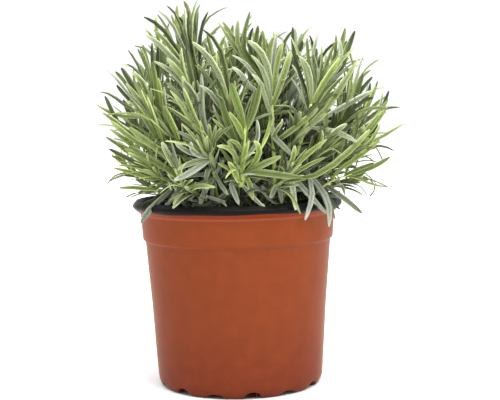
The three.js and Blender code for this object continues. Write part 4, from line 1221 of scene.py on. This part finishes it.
def grow_twig(shoot, at, turn, length, taken):
    """A short side twig: its line leaves the stem at about 40 degrees and turns up towards the
    stem's own way, and three pairs of small leaves sit on it, the last pair at its tip. A leaf
    that would touch the pot or the soil is left out."""
    place, along = on_stem(shoot, at)
    outward = round_about(along[0], turn + TURNS)
    count = len(TURNS)
    places, ways = place.repeat(count, 0), along.repeat(count, 0)
    lines = grown(places, ways, outward, length, rng.uniform(*TWIG_OPENING), TWIG_BEND)
    room = np.where(off_the_pot(lines), room_round(lines, taken), 0)
    best = int(room.argmax())
    if room[best] < TWIG_ROOM:
        return taken, 0
    line = lines[best]
    along = unit(line[TWIG_JOINTS] - line[TWIG_JOINTS - 1])
    spins = rng.uniform(0, np.pi) + TWIG_SPINS
    outwards = np.concatenate([round_about(a, np.array([spin])) for a, spin in zip(along, spins)])
    lengths = TWIG_LENGTHS * rng.uniform(0.8, 1.25, TWIG_LEAVES)
    openings = TWIG_OPENINGS * rng.uniform(0.7, 1.2, TWIG_LEAVES)
    bends = rng.uniform(-0.3, 0.5, TWIG_LEAVES)
    leaves = grown(line[TWIG_JOINTS], along, outwards, lengths, openings, bends)
    keep = off_the_pot(leaves)
    across = np.cross(along, outwards)[:, None].repeat(len(STEPS), 1)
    widths = rng.uniform(*TWIG_LEAF_WIDE, TWIG_LEAVES)
    ages = np.full(TWIG_LEAVES, min(at + 0.15, 1.0))
    leaf = {"lines": leaves[keep], "across": across[keep], "widths": widths[keep], "at": ages[keep]}
    bunches[shoot["name"]].append(leaf)
    twigs[shoot["name"]].append(line)
    return np.concatenate([taken, leaves[keep, FREE_FROM:].reshape(-1, 3)]), 1


twig_count = 0
for shoot in shoots:
    is_low = on_stem(shoot, 1.0)[0][0, 2] < LOW_SHOOT
    for at in TWIG_AT[: LOW_TWIGS if is_low else None]:
        if rng.random() < TWIG_CHANCE:
            length = rng.uniform(*TWIG_LONG) * (1.25 - 0.5 * at)
            taken, new = grow_twig(shoot, at, rng.uniform(0, 2 * np.pi), length, taken)
            twig_count += new
print(twig_count, "side twigs with up to", TWIG_LEAVES, "leaves each")

# %% [markdown]
# ## Leaf and stem finishes
#
# Lavender is grey-green because every leaf is felted with fine white hairs. The felt is thickest
# on the rolled margins and below, which is why each leaf shows a pale outline. Young leaves have
# less of it and look yellow-green, and the old ones at the foot are nearly grey. Hairs could be
# real strands, but they are 0.1 mm long, so they are a sheen and a fine mottling instead. The
# leaves carry values for the shader: the place across the blade, the place along it, whether it is
# the underside, how young the leaf is, its tone, and how much painted shade it gets deep in the
# bush. The tone is a random draw on the grown leaves; on the listed ones it is how light each leaf
# looks, so it paints their light and shade along with their colour. The groove is painted shade.

# %% Felted lavender leaf
VEINS = 13.0  # radians from the middle line to the margin: two fine lines on each side
FELT_MM = 0.5  # tufts of felt, drawn coarser than they are so that they show
FELT_DEEP_MM = 0.06
# Colours by youth, from old and grey to young and yellow-green; the tones go by each leaf's own value, a
# random draw on the grown leaves and painted light and shade on the listed ones.
BLADES = {0: "#919A90", 0.3: "#768949", 0.65: "#7A903B", 1: "#86A243"}
FELTS = {0: "#DFE4DE", 0.3: "#CFDAAA", 0.65: "#D1DE9A", 1: "#D0DF92"}
DEEPS = {0: "#474F44", 0.3: "#36441F", 0.65: "#3B4E19", 1: "#45601C"}
TONES_AND_PAINTED_LIGHT = {0: "#666E50", 0.3: "#A8AE94", 0.65: "#DFDFCF", 1: "#EFEFE1"}
# the second colour is painted shade for the leaves deep in the bush
NECK_COLOUR, PAINTED_SHADE_COLOUR = "#8FA53C", "#666C4A"

leaf_finish, tree, shader, place = new_material(
    "felted_lavender_leaf", Roughness=0.66, IOR=1.42, Sheen_Weight=0.16, Sheen_Roughness=0.45,
    Specular_IOR_Level=0.3,
)
CARRIED = ("across", "below", "along", "youth", "own", "inner")  # the values at each point of a leaf
across, below, along, youth, own, inner = (
    add_node(tree, "Attribute", gives="Fac", attribute_name=name) for name in CARRIED
)
blade = add_node(tree, "ValToRGB", {0: youth}, stops=BLADES)
felted = add_node(tree, "ValToRGB", {0: youth}, stops=FELTS)
deep = add_node(tree, "ValToRGB", {0: youth}, stops=DEEPS)
# the tone multiplies the colour, and on the listed leaves paints their light and shade
tone = add_node(tree, "ValToRGB", {0: own}, stops=TONES_AND_PAINTED_LIGHT)
off_centre = add_node(tree, "Math", {0: across}, operation="ABSOLUTE")
wave = add_node(tree, "Math", {0: across, 1: VEINS}, operation="MULTIPLY")
veins = add_node(tree, "Math", {0: wave}, operation="SINE")
tufts = add_node(tree, "TexNoise", {"Vector": place, "Scale": 1 / (FELT_MM * MM), "Detail": 4.0})
print(len(CARRIED), "values are carried by each point of a leaf")

# %% Where each of a leaf's colours shows
# painted shade: the groove down the middle of the blade is darkened with the deep colour
painted_groove_shade = add_node(tree, "MapRange", {0: off_centre, 1: 0.34, 2: 0.04, 4: 0.9})
to_veins = add_node(tree, "MapRange", {0: veins, 1: 0.2, 2: 1.0, 4: 0.4})
to_margin = add_node(tree, "MapRange", {0: off_centre, 1: 0.66, 2: 0.92})
to_below = add_node(tree, "MapRange", {0: below, 1: 0.05, 2: 0.5, 4: 0.6})
to_tufts = add_node(tree, "MapRange", {0: tufts, 1: 0.42, 2: 0.7, 4: 0.4})
near_neck = add_node(tree, "MapRange", {0: along, 1: 0.35, 2: 0.0, 4: 0.8})
to_neck = add_node(tree, "Math", {0: near_neck, 1: youth}, operation="MULTIPLY")  # old ones stay grey
to_tip = add_node(tree, "MapRange", {0: along, 1: 0.78, 2: 1.0, 4: 0.6})
is_light = add_node(tree, "MapRange", {0: own, 1: 0.3, 2: 0.7})  # then its tip is felted, else dark; on the listed leaves these tips are painted light and shade
tips = add_node(tree, "Mix", {0: is_light, 6: deep, 7: felted}, MIXED, data_type="RGBA")

colour = blade
layers = (
    (painted_groove_shade, deep), (to_veins, deep), (to_margin, felted), (to_below, felted),
    (to_tufts, felted), (to_neck, NECK_COLOUR), (to_tip, tips),
)
for share, layer in layers:
    colour = add_node(tree, "Mix", {0: share, 6: colour, 7: layer}, MIXED, data_type="RGBA")
times = {"data_type": "RGBA", "blend_type": "MULTIPLY"}
colour = add_node(tree, "Mix", {0: 1.0, 6: colour, 7: tone}, MIXED, **times)
# painted shade: by the inner value the colour darkens towards the painted shade colour
painted_shade = add_node(tree, "Mix", {0: 1.0, 6: colour, 7: PAINTED_SHADE_COLOUR}, MIXED, **times)
colour = add_node(tree, "Mix", {0: inner, 6: colour, 7: painted_shade}, MIXED, data_type="RGBA")
tree.links.new(colour, shader.inputs["Base Color"])
bump = add_node(tree, "Bump", {"Height": tufts, "Distance": FELT_DEEP_MM * MM})
tree.links.new(bump, shader.inputs["Normal"])
print(leaf_finish.name, "has", len(layers), "layers, and felt drawn", FELT_MM, "mm wide")

# %% Square lavender stem
FIBRE_MM, FIBRE_DEEP_MM = 0.7, 0.1
stem_finish, tree, shader, place = new_material(
    "square_lavender_stem", Roughness=0.6, IOR=1.45, Sheen_Weight=0.15, Specular_IOR_Level=0.35
)
along = add_node(tree, "Attribute", gives="Fac", attribute_name="along")
WOOD_TO_GREEN = {0: "#4E3F2D", 0.2: "#6F6C3A", 0.42: "#93A04C", 1: "#A9BC57"}
bark = add_node(tree, "ValToRGB", {0: along}, stops=WOOD_TO_GREEN)
drawn = add_node(tree, "Mapping", {0: place, "Scale": (1, 1, 0.2)})
fibres = add_node(tree, "TexNoise", {"Vector": drawn, "Scale": 1 / (FIBRE_MM * MM), "Detail": 4.0})
share = add_node(tree, "MapRange", {0: fibres, 1: 0.4, 2: 0.75, 4: 0.5})
colour = add_node(tree, "Mix", {0: share, 6: bark, 7: "#BFC39A"}, MIXED, data_type="RGBA")
tree.links.new(colour, shader.inputs["Base Color"])
bump = add_node(tree, "Bump", {"Height": fibres, "Distance": FIBRE_DEEP_MM * MM})
tree.links.new(bump, shader.inputs["Normal"])
print(stem_finish.name, "turns woody towards its foot")

# %% [markdown]
# ## Putting each shoot together
#
# A shoot's leaves, its stem and its twigs become one piece, which replaces the shoot's solid. The
# stem is square with rounded corners, as in all plants of the mint family, and swells a little at
# each pair of leaves.

# %% Leaves as a mesh
TWIST, TWIST_ALONG = 0.25, 0.6  # radians to each side, at the root and from there to the tip
THICKER_ROOT, THINNER_TIP = 1.35, 0.45


def leaf_mesh(bunch, rng):
    """Points, faces and values of a bunch: each leaf twists a little along its length."""
    widths = bunch["widths"][:, None]
    share = leaf_width(STEPS[None], rng.uniform(0, 1, widths.shape) ** 1.5)
    flat = share * widths / 2
    tall = np.sqrt(share) * THICK_SHARE * widths * (THICKER_ROOT - THINNER_TIP * STEPS)
    twist = rng.uniform(-TWIST, TWIST, widths.shape)
    twist = twist + rng.uniform(-TWIST_ALONG, TWIST_ALONG, widths.shape) * STEPS
    points, faces = sweep(bunch["lines"], bunch["across"], flat, tall, LEAF_SECTION, twist)
    count, rings = len(widths), len(STEPS)
    values = {
        "across": np.append(np.tile(LEAF_SECTION[:, 0], rings), (0, 0)),
        "below": np.append(np.tile([0, 0, 0, 0, 0, 1.0], rings), (0, 0)),
        "along": np.append(np.repeat(STEPS, len(LEAF_SECTION)), (0, 1)),
    }
    return points, faces, {key: np.tile(numbers, count) for key, numbers in values.items()}


print("a leaf 3 mm wide is", round(3 * THICK_SHARE, 1), "mm thick")

# %% Stem and twigs as a mesh
STEM_STEPS = 28
SWELL, SWELL_MM = 0.22, 1.6  # how much thicker a stem is at a pair of leaves, and over what length
SQUARE = np.array(
    [(1, 0.55), (0.55, 1), (-0.55, 1), (-1, 0.55), (-1, -0.55), (-0.55, -1), (0.55, -1), (1, -0.55)]
)
DIAMOND = np.array([(1, 0), (0, 1), (-1, 0), (0, -1)])
TWIG_HALF, TWIG_TAPER = 0.42, 0.5
TWIG_GREEN = 0.4  # where on the stem's ramp of colours a twig starts
SIDEWAYS = np.array([1.0, 0.1, 0.05])  # one sideways direction for all thin tubes


def stem_mesh(shoot):
    """The square stem: half width = low + (high - low) * t, times 1 + swell at a pair of leaves."""
    t = np.linspace(0, 1.0, STEM_STEPS)
    line, way = on_stem(shoot, t)
    low, high = shoot["half"]
    from_pair = (t[:, None] - shoot["nodes_at"][1::2]) * shoot["length"]
    swell = 1 + SWELL * np.exp(-((from_pair / SWELL_MM) ** 2)).max(1)
    half = (low + (high - low) * t) * swell
    side = np.repeat(unit(np.cross(way[:1], (0.2, 1, 0))), STEM_STEPS, 0)
    points, faces = sweep(line[None], side[None], half[None], half[None], SQUARE)
    return points, faces, {"along": np.append(np.repeat(t, len(SQUARE)), (0, 1))}


def twig_mesh(lines):
    """The twigs of a shoot: thin tubes of four sides that taper to their tips."""
    half = np.broadcast_to(TWIG_HALF * (1 - TWIG_TAPER * STEPS), lines.shape[:2])
    side = np.broadcast_to(SIDEWAYS, lines.shape)
    points, faces = sweep(lines, side, half, half, DIAMOND)
    rising = TWIG_GREEN + (1 - TWIG_GREEN) * STEPS
    values = np.append(np.repeat(rising, len(DIAMOND)), (TWIG_GREEN, 1))
    return points, faces, {"along": np.tile(values, len(lines))}


print("a stem has", STEM_STEPS, "rings of", len(SQUARE), "points")


# %% How young a leaf looks
OLD_BELOW, OLD_OVER = 150.0, 30.0  # the lowest leaves are the oldest
OLD_WITHIN, WITHIN_OVER = 80.0, 25.0  # but not those far out in the light
OLDER = 0.45


def youth_of(shoot, at, places, rng):
    """0 for old and grey, 1 for young and yellow-green: it rises up the stem, falls near the soil,
    and differs from one part of the bush to the next by a slow wave over the shoot's place."""
    x, y, z = on_stem(shoot, 1.0)[0][0]
    wave = 0.13 * np.sin(0.11 * x + 0.6) + 0.1 * np.cos(0.17 * y + 0.05 * x) - 0.0022 * (z - 160)
    low = np.clip((OLD_BELOW - places[:, 2]) / OLD_OVER, 0, 1)
    low *= OLDER * np.clip((OLD_WITHIN - np.hypot(places[:, 0], places[:, 1])) / WITHIN_OVER, 0, 1)
    return np.clip(0.65 * at - 0.1 + wave - low + rng.uniform(-0.14, 0.14, len(at)), 0, 1)


def tone_of(rng, count):
    """How light each leaf is: a draw per leaf around a draw per shoot."""
    return np.clip(rng.uniform(0.25, 0.7) + rng.uniform(-0.4, 0.4, count), 0, 1)


# %% How much painted shade a leaf gets deep in the bush
SHADED_BELOW, SHADED_WITHIN = 128.0, 72.0  # height and radius in mm of the painted shade above the soil
BELOW_OVER, SHADE_OVER = 24.0, 15.0  # over what distance it sets in
INNER_FROM, INNER_OVER = 0.86, 0.45  # the same for the inside, as shares on the egg shape
SOIL_SHADE = 0.6


def painted_shade_of(points):
    """1 deep inside the bush, 0 at its outside: painted shade by how far in a point lies between two
    egg shapes, and more just above the soil, where the leaves get little light."""
    radius = np.hypot(points[..., 0], points[..., 1])
    low = np.clip((SHADED_BELOW - points[..., 2]) / BELOW_OVER, 0, 1)
    low = low * np.clip((SHADED_WITHIN - radius) / SHADE_OVER, 0, 1)
    return np.clip((INNER_FROM - out_share(points)) / INNER_OVER + SOIL_SHADE * low, 0, 1)


# %% One leafy piece
def leafy_piece(name, bunch, woods, shade, rng, replaced=()):
    """One piece from a bunch of leaves, with a youth and a tone for each, and from its stems.
    shade says how much of the painted shade inside the bush these leaves get. k goes through the two kinds
    of faces, with four corners and with three."""
    leaves = leaf_mesh(bunch, rng)
    each = leaves[0].shape[1]
    leaves[2]["youth"], leaves[2]["own"] = np.repeat(bunch["youth"], each), np.repeat(bunch["own"], each)
    # inner carries the painted shade inside the bush
    leaves[2]["inner"] = shade * painted_shade_of(leaves[0]).ravel()
    parts = [leaves, *woods]
    sizes = [part[0].shape[0] * part[0].shape[1] for part in parts]
    starts = np.cumsum([0, *sizes[:-1]])
    faces = [np.concatenate([part[1][k] + start for part, start in zip(parts, starts)]) for k in (0, 1)]
    paint = [np.repeat([0] + [1] * len(woods), [len(part[1][k]) for part in parts]) for k in (0, 1)]
    sized = list(zip(parts, sizes))
    values = {
        key: np.concatenate([part[2].get(key, np.zeros(size)) for part, size in sized])
        for key in CARRIED
    }
    points = np.concatenate([part[0].reshape(-1, 3) for part in parts])
    finishes = [leaf_finish, stem_finish]
    new_piece(name, points, faces, finishes, replaced, np.concatenate(paint), values)
    return len(bunch["widths"])


# %% All shoots
rng = np.random.default_rng(5)
leaf_count = 0
for shoot in shoots:
    rows = bunches[shoot["name"]]
    bunch = {key: np.concatenate([row[key] for row in rows]) for key in rows[0]}
    bunch["youth"] = youth_of(shoot, bunch["at"], bunch["lines"][:, 4], rng)
    bunch["own"] = tone_of(rng, len(bunch["at"]))
    woods = [stem_mesh(shoot)]
    if twigs[shoot["name"]]:
        woods.append(twig_mesh(np.array(twigs[shoot["name"]])))
    leaf_count += leafy_piece("shoot" + shoot["name"][-3:], bunch, woods, 1.0, rng, [shoot["name"]])
print(leaf_count, "leaves in", len(shoots), "pieces")

# %% The bright shoot, the hanging leaves and the dry threads
BRIGHT_HALF = (1.35, 0.75)  # half the bright stem's width at its foot and at its tip, in mm
LIME_TIP = 0.65  # a lime stem's width at its tip, as a share of that at its foot
THREAD_HALF, THREAD_POINTS, THREAD_PASSES = 0.38, 14, 12
DRY, LIME, BRIGHT = (0.02, 0.1), (0.6, 0.95), (0.75, 1.0)  # their places on the stem's ramp of colours
DRY_THREADS = [  # withered flower threads, in mm: each starts on a stem or inside a tuft
    [(64, -10, 124), (77, -8, 127), (86, -5, 124), (94, 0, 120)],
    [(66, -8, 132), (74, -8, 138), (80, -8, 140), (85, -8, 136)],
    [(70, -6, 130), (82, -8, 126), (86, -9, 120), (82, -8, 115)],
    [(68, -6, 138), (76, -8, 146), (86, -8, 146), (90, -8, 137)],
    [(-50, -28, 120), (-60, -30, 122), (-66, -30, 119)],
]


def tube(line, halves, along):
    """A square tube along one line, with its place along a stem as the shader's value."""
    count = len(line)
    half = np.linspace(*halves, count)[None]
    side = np.broadcast_to(SIDEWAYS, (1, count, 3))
    points, faces = sweep(line[None], side, half, half, SQUARE)
    return points, faces, {"along": np.append(np.repeat(np.linspace(*along, count), len(SQUARE)), along)}


rooted = [on_nearest(np.array(line, float), stem_spots) for line in DRY_THREADS]
at = np.linspace(0, 1, THREAD_POINTS)
thread_lines = [smooth_line(line, at, THREAD_PASSES) for line in rooted]
threads = [tube(line, (THREAD_HALF, THREAD_HALF), DRY) for line in thread_lines]
halves = [half for half, _ in LIME_STEMS.values()]
limes = [tube(line, (half, half * LIME_TIP), LIME) for half, line in zip(halves, lime_stems)]
leafy_piece("bright_shoot", bright, [tube(bright_stem, BRIGHT_HALF, BRIGHT)], 0.0, rng)
leafy_piece("hanging_leaves", hanging, threads, 0.0, rng)
leafy_piece("shell_leaves", shell, limes, 0.0, rng)
placed = sum(len(bunch["widths"]) for bunch in (bright, hanging, shell))
print(placed, "leaves placed one by one, and", len(threads), "threads")

# %% [markdown]
# ## Floor and light
#
# The photograph is a studio shot on white: the light is broad and soft, strongest from above, and
# the gaps between the leaves are dark. Many lamps in a ring would need as many settings. A world
# that is bright straight overhead and at the horizon, and darker between the two, does the same:
# its top stands for a large ceiling light, and its horizon for the white walls. The floor is a
# pale grey that this light turns white. One large lamp in front, high on the right, gives the
# leaves their bright sides and the pot its gentle turn.

# %% Floor
FLOOR_M = 6.0
floor_finish, tree, shader, place = new_material("pale_paper_floor", Roughness=0.9, IOR=1.5)
shader.inputs["Base Color"].default_value = linear("#D4D4D4")
floor_mesh = bpy.data.meshes.new("floor")
corners = [(x * FLOOR_M, y * FLOOR_M, 0) for x, y in ((-1, -1), (1, -1), (1, 1), (-1, 1))]
floor_mesh.from_pydata(corners, [], [(0, 1, 2, 3)])
floor_mesh.materials.append(floor_finish)
floor = bpy.data.objects.new("floor", floor_mesh)
bpy.context.scene.collection.objects.link(floor)
print("floor of", 2 * FLOOR_M, "m")

# %% Sky and lamp
SKY = 4.5  # strength straight overhead; the ramp's greys are shares of it
world = bpy.data.worlds.new("white_studio")
bpy.context.scene.world = world
world.use_nodes = True
tree = world.node_tree
direction = add_node(tree, "TexCoord", gives="Generated")  # in a world, the way that is looked
height = add_node(tree, "SeparateXYZ", {0: direction}, gives="Z")
DOME = {0.22: "#868686", 0.36: "#686868", 0.62: "#686868", 0.86: "#FFFFFF"}  # by height above the floor
dome = add_node(tree, "ValToRGB", {0: height}, stops=DOME)
tree.links.new(dome, tree.nodes["Background"].inputs["Color"])
tree.nodes["Background"].inputs["Strength"].default_value = SKY

KEY_PLACE, KEY_AIM = Vector((0.6, -0.8, 1.2)), Vector((0, 0, 0.12))
KEY_SIZE, KEY_WATTS = 0.6, 16.0
lamp = bpy.data.lights.new("key_lamp", "AREA")
lamp.size, lamp.energy = KEY_SIZE, KEY_WATTS
key = bpy.data.objects.new("key_lamp", lamp)
turn = (KEY_AIM - KEY_PLACE).to_track_quat("-Z", "Y").to_matrix().to_4x4()
key.matrix_world = Matrix.Translation(KEY_PLACE) @ turn
bpy.context.scene.collection.objects.link(key)
bpy.context.scene.view_settings.view_transform = "Standard"
print("a sky of", SKY, "overhead and a lamp of", KEY_WATTS, "W")
